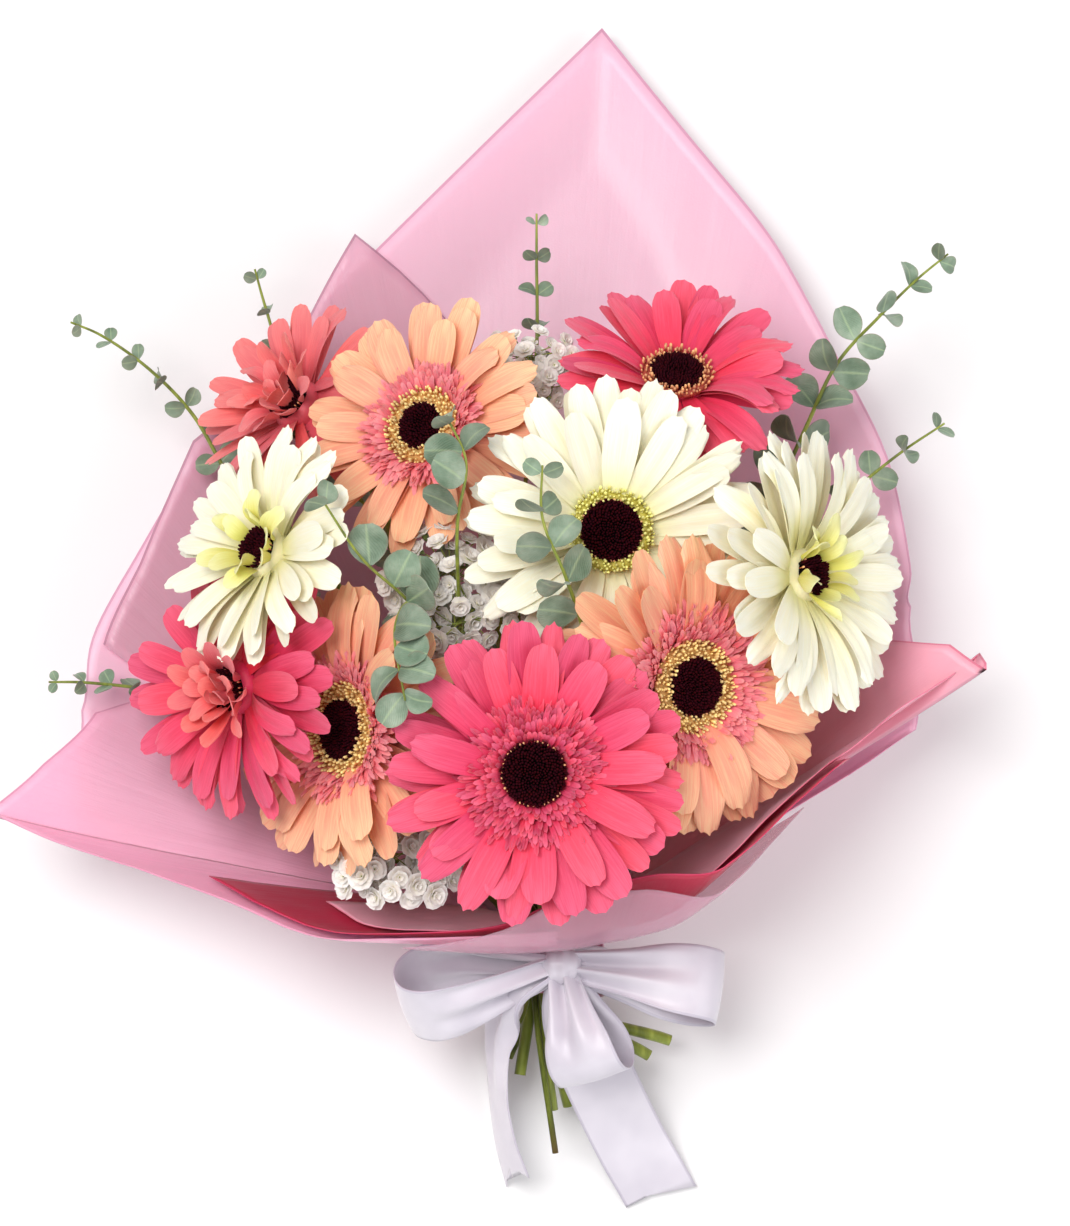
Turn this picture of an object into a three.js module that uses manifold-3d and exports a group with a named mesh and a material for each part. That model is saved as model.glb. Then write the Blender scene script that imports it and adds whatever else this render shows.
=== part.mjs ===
// A hand-tied bouquet of gerberas, eucalyptus and gypsophila in a paper and film wrap with a
// satin bow. It lies on its back: heads towards +Y, cut stems towards -Y, blooms facing +Z.
// Everything is in millimetres.
import * as THREE from 'three';
import { mergeVertices } from 'three/addons/utils/BufferGeometryUtils.js';
import Module from 'manifold-3d';

const wasm = await Module();
wasm.setup();

// Driving dimensions.
const PAPER = 0.8; // thickness of every sheet of the wrap
const CLEARANCE = 0.35; // least gap between two pieces
const SHEET_STEP = 1.4; // from one sheet of the wrap to the next, in the neck
const SHEET_SPREAD = 1.2; // what that step gains from the neck to the rim
const NECK = { x: 24, y: -116, z: 24, radius: 19.4, length: 20 };
const OUTERMOST = 4; // the layer number of the back sheet, which lies on the surface
const STEM_RADIUS = 2.2;
const TWIG_RADIUS = 1;
const STALK_RADIUS = 0.7;
const RIBBON = { width: 27, thick: 0.8 };
const LEAF_THICK = 0.9;

// The outermost surface of the wrap: one rib for each angle round the neck (0 right, 90 front,
// 180 left, 270 back). Each row gives the angle, the rim point, the height that the rib sags
// to on its way, and how far it bulges out over the tie.
const RIBS = [
  [2, 175.4, -9.4, 58, 26, 0],
  [7, 189.3, -20.2, 63, 30, 0],
  [13, 178, -29.7, 66, 34, 0],
  [22, 158.5, -42.8, 72, 40, 0],
  [33, 141, -57.6, 79, 47, 2],
  [43, 126.7, -68.3, 85, 53, 4],
  [53, 109, -85, 92, 57, 8],
  [62, 91.9, -102.1, 97, 60, 12],
  [71, 77.5, -111.6, 99, 62, 18],
  [80, 55.4, -112, 100, 62, 26],
  [90, 26.3, -117, 99, 61, 26],
  [101, 3.1, -124, 92, 60, 16],
  [113, -32.4, -126, 86, 58, 8],
  [125, -62.5, -124.7, 80, 54, 3],
  [136, -91, -113, 74, 47, 0],
  [148, -124.6, -99.8, 66, 40, 0],
  [158, -160, -87.6, 59, 34, 0],
  [167, -189, -73.6, 53, 30, 0],
  [174, -166, -52.5, 48, 24, 0],
  [181, -152, -31, 41, 18, 0],
  [189, -149, -3, 37, 12, 0],
  [198, -134, 28, 34, 7, 0],
  [208, -111, 70, 29, 2, 0],
  [218, -95, 92.5, 25, -3, 0],
  [228, -76, 118.6, 20, -9, 0],
  [239, -50.3, 147.3, 15, -15, 0],
  [254, -4, 196, 11, -22, 0],
  [270, 43.7, 244.6, 10, -24, 0],
  [282, 77, 201, 12, -22, 0],
  [294, 104, 165.5, 16, -15, 0],
  [306, 117, 143, 20, -9, 0],
  [320, 133, 109, 26, -1, 0],
  [335, 151, 67.6, 34, 8, 0],
  [348, 158.5, 24.4, 42, 16, 0],
  [356, 158, 7, 48, 21, 0],
];
const FLARE_STEPS = [0.15, 0.34, 0.56]; // shares of the rib where all sheets bend

// Each sheet: its layer from the inside out, the angles that it spans, and how far along the
// rib its own rim lies, as straight runs between [angle, share of the rib].
const SHEETS = [
  { name: 'paper_right', layer: 0, from: 335, to: 496, color: 0xe59ab2,
    rim: [[335, 0.62], [356, 0.9], [362, 1], [403, 1], [422, 0.96], [450, 0.9], [496, 0.82]] },
  { name: 'crimson_sheet', layer: 1, from: 22, to: 148, color: 0xb02048,
    rim: [[22, 0.8], [33, 0.97], [43, 1.04], [71, 1.05], [90, 0.97], [113, 0.94], [148, 0.8]] },
  { name: 'paper_left', layer: 2, from: 90, to: 198, color: 0xefa6bd,
    rim: [[90, 0.9], [101, 0.98], [113, 1], [174, 1], [181, 0.98], [198, 0.66]] },
  { name: 'film_front', layer: 3, from: 43, to: 113, color: 0xd9b8c4,
    rim: [[43, 0.9], [62, 1], [90, 1.02], [101, 1], [113, 0.92]] },
  { name: 'film_lining', layer: 3, from: 189, to: 254, color: 0xe9c3d6,
    rim: [[189, 0.98], [198, 0.99], [208, 1.02], [218, 0.98], [228, 0.99], [239, 1.04],
      [254, 0.72]] },
  { name: 'paper_back', layer: 4, from: 158, to: 373, color: 0xebb9d2,
    rim: [[158, 0.72], [174, 0.94], [181, 1], [356, 1], [362, 0.9], [373, 0.72]] },
];

// Blooms: where the eye is, the way the bloom faces, its radius, and its rings of florets.
const PEACH = 0xf6b083;
const PINK = 0xee4a74;
const CREAM = 0xf1eecb;
const CORAL = 0xf26668;
const BLOOMS = [
  { eye: [17, -65.5, 120], faces: [0, -0.15, 1], radius: 56, color: PINK, iris: 10.9,
    ring: 0, fringe: 25, stem: [-2.6, 7.1], foot: [31, -165, 25] },
  { eye: [44.5, 23.2, 112], faces: [0.1, -0.05, 1], radius: 56, color: CREAM, iris: 10.7,
    ring: 14.6, fringe: 0, stem: [0, 2.6], foot: [34, -170, 15] },
  { eye: [73.3, -32.3, 107], faces: [0.5, -0.2, 0.85], radius: 56, color: PEACH, iris: 10.2,
    ring: 16, fringe: 29, stem: [5.2, 2.6], foot: [60, -158, 21], band: 0xe86486 },
  { eye: [116, 9.1, 104], faces: [0.76, 0, 0.64], radius: 54, color: CREAM, iris: 7,
    ring: 0, fringe: 20, stem: [7.8, -2], foot: [68, -152, 16], inner: 0xe6df78 },
  { eye: [-22.9, 63.7, 101], faces: [-0.42, 0.14, 0.9], radius: 50, color: PEACH, iris: 8.2,
    ring: 13.6, fringe: 23, stem: [2.6, -2], foot: [42, -160, 13], band: 0xe86486 },
  { eye: [-81.5, 18.3, 103], faces: [-0.66, 0.16, 0.72], radius: 47, color: CREAM, iris: 7,
    ring: 0, fringe: 20, stem: [-2.6, -2], foot: [30, -176, 10], inner: 0xe6df78 },
  { eye: [-50.5, -46.1, 96], faces: [-0.72, -0.1, 0.7], radius: 55, color: PEACH, iris: 10.4,
    ring: 16, fringe: 27, stem: [-5.2, 2.6], foot: [24, -178, 18], band: 0xe0557f },
  { eye: [69.2, 84.6, 93], faces: [0.05, 0.58, 0.8], radius: 47, color: PINK, iris: 9.2,
    ring: 12.4, fringe: 0, stem: [3.4, -7], foot: [45, -157, 8] },
  { eye: [-92.6, -30.5, 91], faces: [-0.64, -0.25, 0.72], radius: 50, color: PINK, iris: 7,
    ring: 0, fringe: 24, stem: [-8.6, -1.6], foot: [11.8, -165, 20], inner: 0xf0605f },
  { eye: [-72.9, 80.6, 72], faces: [-0.62, 0.35, 0.7], radius: 42, color: CORAL, iris: 8,
    ring: 0, fringe: 0, stem: [-2, -6.8], foot: [30, -160, 7] },
];
const HUB = { radius: 11.6, depth: 8 };
const BENDS = [0, 5, -5, 10, -10, 16, -16, 22, 28, -22, 34, 42, -30, -40, 50]; // degrees

// Small helpers.
const up = new THREE.Vector3(0, 0, 1);
const point = ([x, y, z]) => new THREE.Vector3(x, y, z);
const ramp = (value, from, to) => THREE.MathUtils.clamp((value - from) / (to - from), 0, 1);
const radians = THREE.MathUtils.degToRad;

function seeded(seed) {
  let state = seed;
  return () => {
    state = (state * 1664525 + 1013904223) % 4294967296;
    return state / 4294967296;
  };
}

// A value at x on straight runs between [x, value] pairs.
function along(pairs, x) {
  let last = pairs[0];
  for (const pair of pairs) {
    if (x <= pair[0]) {
      const share = pair[0] > last[0] ? ramp(x, last[0], pair[0]) : 0;
      return last[1] + (pair[1] - last[1]) * share;
    }
    last = pair;
  }
  return last[1];
}

function meshFrom(positions, indices) {
  const geometry = new THREE.BufferGeometry();
  geometry.setAttribute('position', new THREE.Float32BufferAttribute(positions, 3));
  geometry.setIndex(indices);
  return outward(geometry);
}

// Turns the faces round if the closed mesh is inside out.
function outward(geometry) {
  const at = geometry.getAttribute('position');
  const index = geometry.getIndex().array;
  const corner = [0, 1, 2].map(() => new THREE.Vector3());
  let volume = 0;
  for (let i = 0; i < index.length; i += 3) {
    corner.forEach((c, k) => c.fromBufferAttribute(at, index[i + k]));
    volume += corner[0].dot(corner[1].cross(corner[2]));
  }
  if (volume < 0) {
    geometry.setIndex(Array.from(index).reverse());
  }
  return geometry;
}

function welded(geometry) {
  const copy = geometry.clone();
  copy.deleteAttribute('normal');
  copy.deleteAttribute('uv');
  return outward(mergeVertices(copy, 1e-4));
}

function solidOf(geometry) {
  const vertProperties = new Float32Array(geometry.getAttribute('position').array);
  const triVerts = new Uint32Array(geometry.getIndex().array);
  return new wasm.Manifold(new wasm.Mesh({ numProp: 3, vertProperties, triVerts }));
}

function geometryOf(solid) {
  const mesh = solid.getMesh();
  return meshFrom(Array.from(mesh.vertProperties), Array.from(mesh.triVerts));
}

// One body made of many that are rooted in each other; loose scraps are dropped.
function fused(solids) {
  const bodies = wasm.Manifold.union(solids).simplify(0.2).decompose();
  return bodies.reduce((best, body) => (body.volume() > best.volume() ? body : best));
}

// Skins closed rings of equally many points and closes both ends.
function loft(rings) {
  const count = rings[0].length;
  const positions = rings.flat().flatMap((p) => [p.x, p.y, p.z]);
  const indices = [];
  for (let r = 0; r + 1 < rings.length; r += 1) {
    for (let k = 0; k < count; k += 1) {
      const a = r * count + k;
      const b = r * count + ((k + 1) % count);
      indices.push(a, b, b + count, a, b + count, a + count);
    }
  }
  const last = (rings.length - 1) * count;
  for (let k = 1; k + 1 < count; k += 1) {
    indices.push(0, k + 1, k, last, last + k, last + k + 1);
  }
  return meshFrom(positions, indices);
}

// A round bar through a row of points, its rings turned as little as can be.
function bar(points, radius, sides) {
  let across = new THREE.Vector3(1, 0, 0.01);
  const rings = points.map((at, i) => {
    const next = points[Math.min(i + 1, points.length - 1)];
    const forward = next.clone().sub(points[Math.max(i - 1, 0)]).normalize();
    across = across.clone().addScaledVector(forward, -across.dot(forward)).normalize();
    const over = forward.clone().cross(across);
    return Array.from({ length: sides }, (unused, k) => {
      const angle = (2 * Math.PI * k) / sides;
      return at.clone().addScaledVector(across, radius * Math.cos(angle))
        .addScaledVector(over, radius * Math.sin(angle));
    });
  });
  return loft(rings);
}

// Pieces that are in place, for keeping clear of them.
const placed = [];

function isClear(solid, others = placed) {
  const box = solid.boundingBox();
  return others.every((other) => {
    const apart = [0, 1, 2].some((k) => box.min[k] > other.box.max[k] + CLEARANCE
      || box.max[k] < other.box.min[k] - CLEARANCE);
    return apart || solid.minGap(other.solid, CLEARANCE + 0.05) >= CLEARANCE;
  });
}

const bouquet = new THREE.Group();

function add(name, geometry, color, finish = {}) {
  const material = new THREE.MeshStandardMaterial({ color, roughness: 0.6, ...finish });
  const mesh = new THREE.Mesh(geometry, material);
  mesh.name = name;
  bouquet.add(mesh);
  const solid = solidOf(welded(geometry));
  placed.push({ name, solid, box: solid.boundingBox() });
}

// The wrap.
function ribPoint(rib, share) {
  const [angle, x, y, z, sag, bulge] = rib;
  const c = Math.cos(radians(angle));
  const s = Math.sin(radians(angle));
  const start = new THREE.Vector3(NECK.x + NECK.radius * c, NECK.y, NECK.z + NECK.radius * s);
  if (share < 0) {
    start.y += NECK.length * share;
    return start;
  }
  const rim = new THREE.Vector3(x, y, z);
  const first = start.clone().lerp(rim, 0.14);
  first.y += 9;
  first.z = start.z + (sag - start.z) * 0.6;
  const second = start.clone().lerp(rim, 0.64);
  second.y -= bulge;
  second.z = sag;
  const curve = new THREE.CubicBezierCurve3(start, first, second, rim);
  const at = curve.getPoint(Math.min(share, 1));
  if (share > 1) {
    at.addScaledVector(rim.clone().sub(curve.getPoint(0.97)), (share - 1) / 0.03);
  }
  at.z = Math.max(at.z, 0);
  return at;
}

const ribAt = (index) => RIBS[(index + RIBS.length) % RIBS.length];

// A point of a layer: the outermost surface moved inwards along its normal.
function wrapPoint(index, share, layer, extra) {
  const step = 0.04;
  const at = ribPoint(ribAt(index), share);
  const across = ribPoint(ribAt(index + 1), share).sub(ribPoint(ribAt(index - 1), share));
  const lengthwise = ribPoint(ribAt(index), share + step)
    .sub(ribPoint(ribAt(index), share - step));
  const inward = across.cross(lengthwise).normalize();
  const depth = (OUTERMOST - layer) * (SHEET_STEP + SHEET_SPREAD * Math.max(share, 0));
  return at.addScaledVector(inward, depth + extra);
}

function sheetGeometry({ layer, from, to, rim }) {
  const columns = [];
  for (let index = 0; index < 2 * RIBS.length; index += 1) {
    const angle = ribAt(index)[0] + (index >= RIBS.length ? 360 : 0);
    if (angle >= from && angle <= to) {
      columns.push([index, angle]);
    }
  }
  const bend = FLARE_STEPS[FLARE_STEPS.length - 1];
  const face = (extra) => columns.map(([index, angle]) => {
    const reach = along(rim, angle);
    const shares = [-1, -0.02, ...FLARE_STEPS, (bend + reach) / 2, reach];
    return shares.map((share) => wrapPoint(index, share, layer, extra));
  });
  return slab(face(0), face(PAPER));
}

// A closed slab between two grids of points that match.
function slab(outer, inner) {
  const rows = outer[0].length;
  const positions = [...outer.flat(), ...inner.flat()].flatMap((p) => [p.x, p.y, p.z]);
  const half = outer.length * rows;
  const indices = [];
  const quad = (a, b, c, d) => indices.push(a, b, c, a, c, d);
  for (let i = 0; i + 1 < outer.length; i += 1) {
    for (let j = 0; j + 1 < rows; j += 1) {
      const a = i * rows + j;
      const [b, c, d] = [a + rows, a + rows + 1, a + 1];
      quad(a, b, c, d);
      indices.push(half + a, half + c, half + b, half + a, half + d, half + c);
    }
  }
  const side = (a, b) => quad(b, a, half + a, half + b);
  for (let i = 0; i + 1 < outer.length; i += 1) {
    side(i * rows, (i + 1) * rows);
    side((i + 1) * rows + rows - 1, i * rows + rows - 1);
  }
  const lastColumn = (outer.length - 1) * rows;
  for (let j = 0; j + 1 < rows; j += 1) {
    side(j + 1, j);
    side(lastColumn + j, lastColumn + j + 1);
  }
  return meshFrom(positions, indices);
}

function addWrap() {
  SHEETS.forEach((sheet) => {
    const finish = { roughness: sheet.name.startsWith('film') ? 0.25 : 0.5 };
    add(sheet.name, sheetGeometry(sheet), sheet.color, finish);
  });
}

// A ring round the neck.
function neckRing(inner, thick, yMiddle, width, sides) {
  const outer = inner + thick;
  const profile = [[inner, -width / 2], [outer, -width / 2], [outer, width / 2],
    [inner, width / 2], [inner, -width / 2]].map(([r, y]) => new THREE.Vector2(r, y));
  const ring = new THREE.LatheGeometry(profile, sides);
  ring.applyMatrix4(new THREE.Matrix4().makeTranslation(NECK.x, yMiddle, NECK.z));
  return welded(ring);
}

// The ribbon: a flat strip along a route. Each station gives the middle of the strip, the
// way its width runs, and its width.
function strip(stations) {
  const middles = stations.map((s) => s.at);
  const rings = stations.map((station, i) => {
    const next = middles[Math.min(i + 1, middles.length - 1)];
    const before = middles[Math.max(i - 1, 0)];
    const forward = next.clone().sub(before).normalize();
    const across = station.across.clone().addScaledVector(forward,
      -station.across.dot(forward)).normalize();
    const face = forward.clone().cross(across);
    const corner = (a, f) => station.at.clone()
      .addScaledVector(across, a * station.width * 0.5)
      .addScaledVector(face, f * RIBBON.thick * 0.5);
    return [corner(1, -1), corner(1, 1), corner(-1, 1), corner(-1, -1)];
  });
  return loft(rings);
}

const KNOT = new THREE.Vector3(27, -127, 52);

// A loop of the bow: out from the knot, round, and back.
function bowLoop({ out, across, length, rise, steps }) {
  const outward3 = point(out).normalize();
  const width3 = point(across);
  width3.addScaledVector(outward3, -width3.dot(outward3)).normalize();
  const lift = outward3.clone().cross(width3);
  const stations = [];
  for (let i = 0; i <= steps; i += 1) {
    const turn = i / steps;
    const reach = Math.sin(Math.PI * turn);
    const at = KNOT.clone().addScaledVector(outward3, length * reach ** 0.8)
      .addScaledVector(lift, rise * Math.sin(2 * Math.PI * turn));
    const width = 9 + (RIBBON.width - 9) * Math.min(1, reach * 1.5);
    stations.push({ at, across: width3, width });
  }
  return strip(stations);
}

const BOW_LOOPS = [
  { out: [-0.97, -0.24, -0.08], across: [0, 0.72, 0.62], length: 62, rise: 7, steps: 7 },
  { out: [0.97, -0.14, -0.08], across: [-0.2, -0.97, 0.05], length: 60, rise: 8, steps: 7 },
  { out: [0.3, -0.93, -0.12], across: [0.86, 0.25, 0.3], length: 43, rise: 10, steps: 7 },
];
const LEFT_TAIL = [
  [22, -128, 51, 0.7, 0, 0.7, 9], [9, -139, 47, 0.6, 0.2, 0.7, 16],
  [4, -150, 30, 0.5, 0, 0.85, 22], [4.5, -170, 18, 0.42, 0, 0.9, 25],
  [7, -190, 13.4, 0.42, 0, 0.9, 25], [10.5, -205, 12.6, 0.4, 0, 0.92, 25],
];
const RIGHT_TAIL = [
  [27, -128, 49.5, 1, 0, 0, 9], [30, -141, 45, 1, 0.1, 0, 20],
  [36, -155, 33, 0.96, 0.26, 0, 27], [44, -172, 20, 0.94, 0.32, 0, 27],
  [54, -191, 8, 0.92, 0.36, 0, 27], [60, -203, 3, 0.93, 0.3, 0, 26],
  [65, -212.5, 1.4, 0.99, 0.1, 0, 22],
];

function tail(rows) {
  return strip(rows.map(([x, y, z, ax, ay, az, width]) => (
    { at: point([x, y, z]), across: point([ax, ay, az]), width })));
}

function addRibbon() {
  const finish = { roughness: 0.35 };
  add('ribbon_band', neckRing(NECK.radius + 0.6, 0.9, NECK.y - 10, 15, 20), 0xf0eaf0,
    finish);
  const knot = new THREE.SphereGeometry(6.4, 8, 5);
  knot.scale(1.15, 1, 1.05);
  knot.translate(KNOT.x, KNOT.y, KNOT.z);
  const parts = [welded(knot), ...BOW_LOOPS.map(bowLoop), tail(LEFT_TAIL), tail(RIGHT_TAIL)];
  add('ribbon_bow', geometryOf(fused(parts.map(solidOf))), 0xf2edf2, finish);
}

// A frame on each bloom: the way it faces and two directions across it.
function frameOf({ eye, faces }) {
  const facing = point(faces).normalize();
  const side = new THREE.Vector3().crossVectors(new THREE.Vector3(0, 1, 0), facing);
  side.normalize();
  return { middle: point(eye), facing, side, over: facing.clone().cross(side) };
}

function onBloom(frame, radius, angle, height) {
  return frame.middle.clone().addScaledVector(frame.facing, height)
    .addScaledVector(frame.side, radius * Math.cos(angle))
    .addScaledVector(frame.over, radius * Math.sin(angle));
}

// A lathed piece, its axis the way the bloom faces.
function turned(frame, profile, sides) {
  const lathe = new THREE.LatheGeometry(profile.map(([r, h]) => new THREE.Vector2(r, h)), sides);
  lathe.applyMatrix4(new THREE.Matrix4().makeBasis(frame.over, frame.facing, frame.side)
    .setPosition(frame.middle));
  return welded(lathe);
}

// A blade with a keel from a row of stations: middle, across, upward, half width, how deep
// its keel is below the middle, and how far its edges stand above it.
function blade(stations) {
  return loft(stations.map(({ at, across, over, half, keel, edge }) => [
    at.clone().addScaledVector(across, half).addScaledVector(over, edge),
    at.clone().addScaledVector(across, -half).addScaledVector(over, edge),
    at.clone().addScaledVector(over, -keel),
  ]));
}

const LONG_RAY = [
  { out: 0, half: 0.16, keel: 1 }, { out: 0.4, half: 0.42, keel: 0.7 },
  { out: 0.8, half: 0.5, keel: 0.6 }, { out: 1, half: 0.2, keel: 0.5 },
];
const SHORT_RAY = [
  { out: 0, half: 0.2, keel: 1 }, { out: 0.66, half: 0.5, keel: 0.7 },
  { out: 1, half: 0.22, keel: 0.5 },
];

function ray(frame, angle, { start, end, width, base, pitch, curl, form = SHORT_RAY }) {
  const tilt = Math.tan(radians(pitch));
  const across = onBloom(frame, 1, angle + Math.PI / 2, 0).sub(frame.middle);
  return blade(form.map(({ out, half, keel }) => {
    const reach = start + (end - start) * out * Math.cos(radians(Math.abs(pitch) * 0.6));
    const height = base + tilt * (reach - start) - curl * out * out;
    return {
      at: onBloom(frame, reach, angle, height), across, over: frame.facing,
      half: half * width, keel, edge: 0.09 * width * half,
    };
  }));
}

function rayLayer(frame, layer, others, random) {
  const solids = [];
  for (let i = 0; i < layer.count; i += 1) {
    const angle = (2 * Math.PI * (i + layer.turn + 0.16 * (random() - 0.5))) / layer.count;
    const end = layer.end * (0.95 + 0.1 * random());
    const lean = layer.pitch + 5 * (random() - 0.5);
    const fit = BENDS.map((bend) => ({ ...layer, end, pitch: lean + bend }))
      .concat(BENDS.map((bend) => ({ ...layer, end: end * 0.8, pitch: lean + bend })));
    for (const trial of fit) {
      const solid = solidOf(ray(frame, angle, trial));
      if (isClear(solid, others)) {
        solids.push(solid);
        break;
      }
    }
  }
  return solids;
}

const bloomNumber = (index) => `gerbera_${String(index + 1).padStart(2, '0')}`;

// A stem's way: its cut end, straight through the neck, then a curve by way of its bends.
function routeOf([dx, dz], foot, bends, samples, lead) {
  const [x, z] = [NECK.x + dx, NECK.z + dz];
  const top = new THREE.Vector3(x, NECK.y + 3 + lead[0], z);
  const curve = new THREE.CatmullRomCurve3([top, ...bends], false, 'centripetal');
  const low = new THREE.Vector3(x, NECK.y - NECK.length - 3 - lead[1], z);
  return { curve, points: [point(foot), low, top, ...curve.getPoints(samples).slice(1)] };
}

// Tries a route with its bends moved a little more each time, until its bar is clear.
function clearRoute(neck, foot, bends, { radius, sides, samples, fixed }, random) {
  let first = null;
  for (let trial = 0; trial < 400; trial += 1) {
    const sway = () => (random() - 0.5) * trial * 0.12;
    const moved = bends.map((at, i) => (i >= bends.length - fixed ? at
      : new THREE.Vector3(at.x + sway(), at.y + sway() * 0.4, at.z + sway() * 0.6)));
    const end = trial ? [foot[0] + sway() * 0.3, foot[1], foot[2] + sway() * 0.1] : foot;
    const lead = [14, 8].map((most) => random() * Math.min(trial * 0.2, most));
    const { curve, points } = routeOf(neck, end, moved, samples, lead);
    const solid = solidOf(bar(points, radius, sides));
    if (isClear(solid)) {
      return { solid, curve, points };
    }
    first = first ?? { solid, curve, points };
  }
  return first;
}

function addStems() {
  const random = seeded(11);
  BLOOMS.forEach((bloom, index) => {
    const frame = frameOf(bloom);
    const low = -HUB.depth - CLEARANCE;
    const cup = turned(frame, [[0, low - 8], [8, low - 4.5], [HUB.radius, low], [0, low]], 8);
    const behind = (depth) => frame.middle.clone().addScaledVector(frame.facing, low - depth);
    const start = new THREE.Vector3(NECK.x + bloom.stem[0], NECK.y, NECK.z + bloom.stem[1]);
    const half = start.lerp(behind(26), 0.5);
    half.z -= 2;
    const route = clearRoute(bloom.stem, bloom.foot, [half, behind(26), behind(4)],
      { radius: STEM_RADIUS, sides: 6, samples: 6, fixed: 1 }, random);
    add(`${bloomNumber(index)}_stem`, geometryOf(fused([route.solid, solidOf(cup)])), 0x6f8435);
  });
}

function ringOf(frame, inner, outer, low, high, teeth) {
  const rings = [];
  const corner = inner / Math.cos(Math.PI / (teeth * 2));
  for (let k = 0; k < teeth * 2; k += 1) {
    const angle = (Math.PI * k) / teeth;
    const tip = outer * (k % 2 ? 1 : 0.9);
    rings.push([onBloom(frame, corner, angle, low), onBloom(frame, tip, angle, high),
      onBloom(frame, tip - 0.4, angle, high + 1), onBloom(frame, corner, angle, low + 1.4)]);
  }
  const positions = rings.flat().flatMap((p) => [p.x, p.y, p.z]);
  const indices = [];
  rings.forEach((ring, r) => ring.forEach((unused, k) => {
    const [a, b] = [r * 4 + k, r * 4 + ((k + 1) % 4)];
    const [c, d] = [a, b].map((v) => (v + 4) % (rings.length * 4));
    indices.push(a, b, d, a, d, c);
  }));
  return meshFrom(positions, indices);
}

// The eye, and the rings that lie round it, are the fixed middle of each bloom.
function addMiddles() {
  BLOOMS.forEach((bloom, index) => {
    const frame = frameOf(bloom);
    const { iris, ring } = bloom;
    const low = CLEARANCE;
    add(`${bloomNumber(index)}_eye`, turned(frame, [[0, low], [iris, low],
      [iris * 0.75, low + 2.6], [0, low + 1.6]],
    8), 0x2a0712, { roughness: 0.8 });
    if (ring) {
      add(`${bloomNumber(index)}_gold_ring`,
        ringOf(frame, iris + CLEARANCE, ring, low, low + 1.2, 7), 0xdcb048, { roughness: 0.7 });
    }
    if (bloom.band) {
      add(`${bloomNumber(index)}_pink_ring`,
        ringOf(frame, ring + CLEARANCE, bloom.fringe, low, low + (bloom.fringe - ring) * 0.42, 10),
        bloom.band);
    }
  });
}

function hub(frame) {
  const r = HUB.radius;
  return turned(frame, [[0, -HUB.depth], [r, -HUB.depth + 1], [r, 0], [0, 0]], 10);
}

const RAY_LAYERS = [
  { count: 9, reach: 1, width: 15.5, base: -5.6, pitch: 15, turn: 0, form: LONG_RAY },
  { count: 6, reach: 0.87, width: 16, base: -3, pitch: 20, turn: 0.5 },
];

// Hubs and collars hold their places before the rays are laid round them.
function hold(solid) {
  const piece = { solid, box: solid.boundingBox() };
  placed.push(piece);
  return piece;
}

function release(piece) {
  placed.splice(placed.indexOf(piece), 1);
  return piece.solid;
}

function addBlooms(hubs, inners) {
  const random = seeded(7);
  BLOOMS.forEach((bloom, index) => {
    const frame = frameOf(bloom);
    const solids = [release(hubs[index])];
    RAY_LAYERS.forEach((layer) => solids.push(...rayLayer(frame,
      { ...layer, start: HUB.radius - 2, end: bloom.radius * layer.reach, curl: 3 }, placed,
      random)));
    if (bloom.fringe && !bloom.band && !bloom.inner) {
      solids.push(...rayLayer(frame, { count: 9, width: 7, base: -0.9, pitch: 22, turn: 0,
        start: bloom.iris - 1, end: bloom.fringe, curl: 2 }, placed, random));
    }
    add(`${bloomNumber(index)}_rays`, geometryOf(fused(solids)), bloom.color);
    if (bloom.inner) {
      add(`${bloomNumber(index)}_inner_rays`, geometryOf(release(inners[index])), bloom.inner);
    }
  });
}

// Short inner petals that stand round a hidden eye, joined in a collar.
function innerFlorets(bloom, random) {
  const frame = frameOf(bloom);
  const collar = ringOf(frame, bloom.iris + CLEARANCE, bloom.iris + 3.6, CLEARANCE, 1.4, 5);
  const petals = rayLayer(frame, { count: 5, width: 11, base: 1.5, pitch: 44, turn: 0.25,
    start: bloom.iris + 1.9, end: bloom.fringe, curl: 1 }, [], random);
  return fused([solidOf(collar), ...petals]);
}

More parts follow.
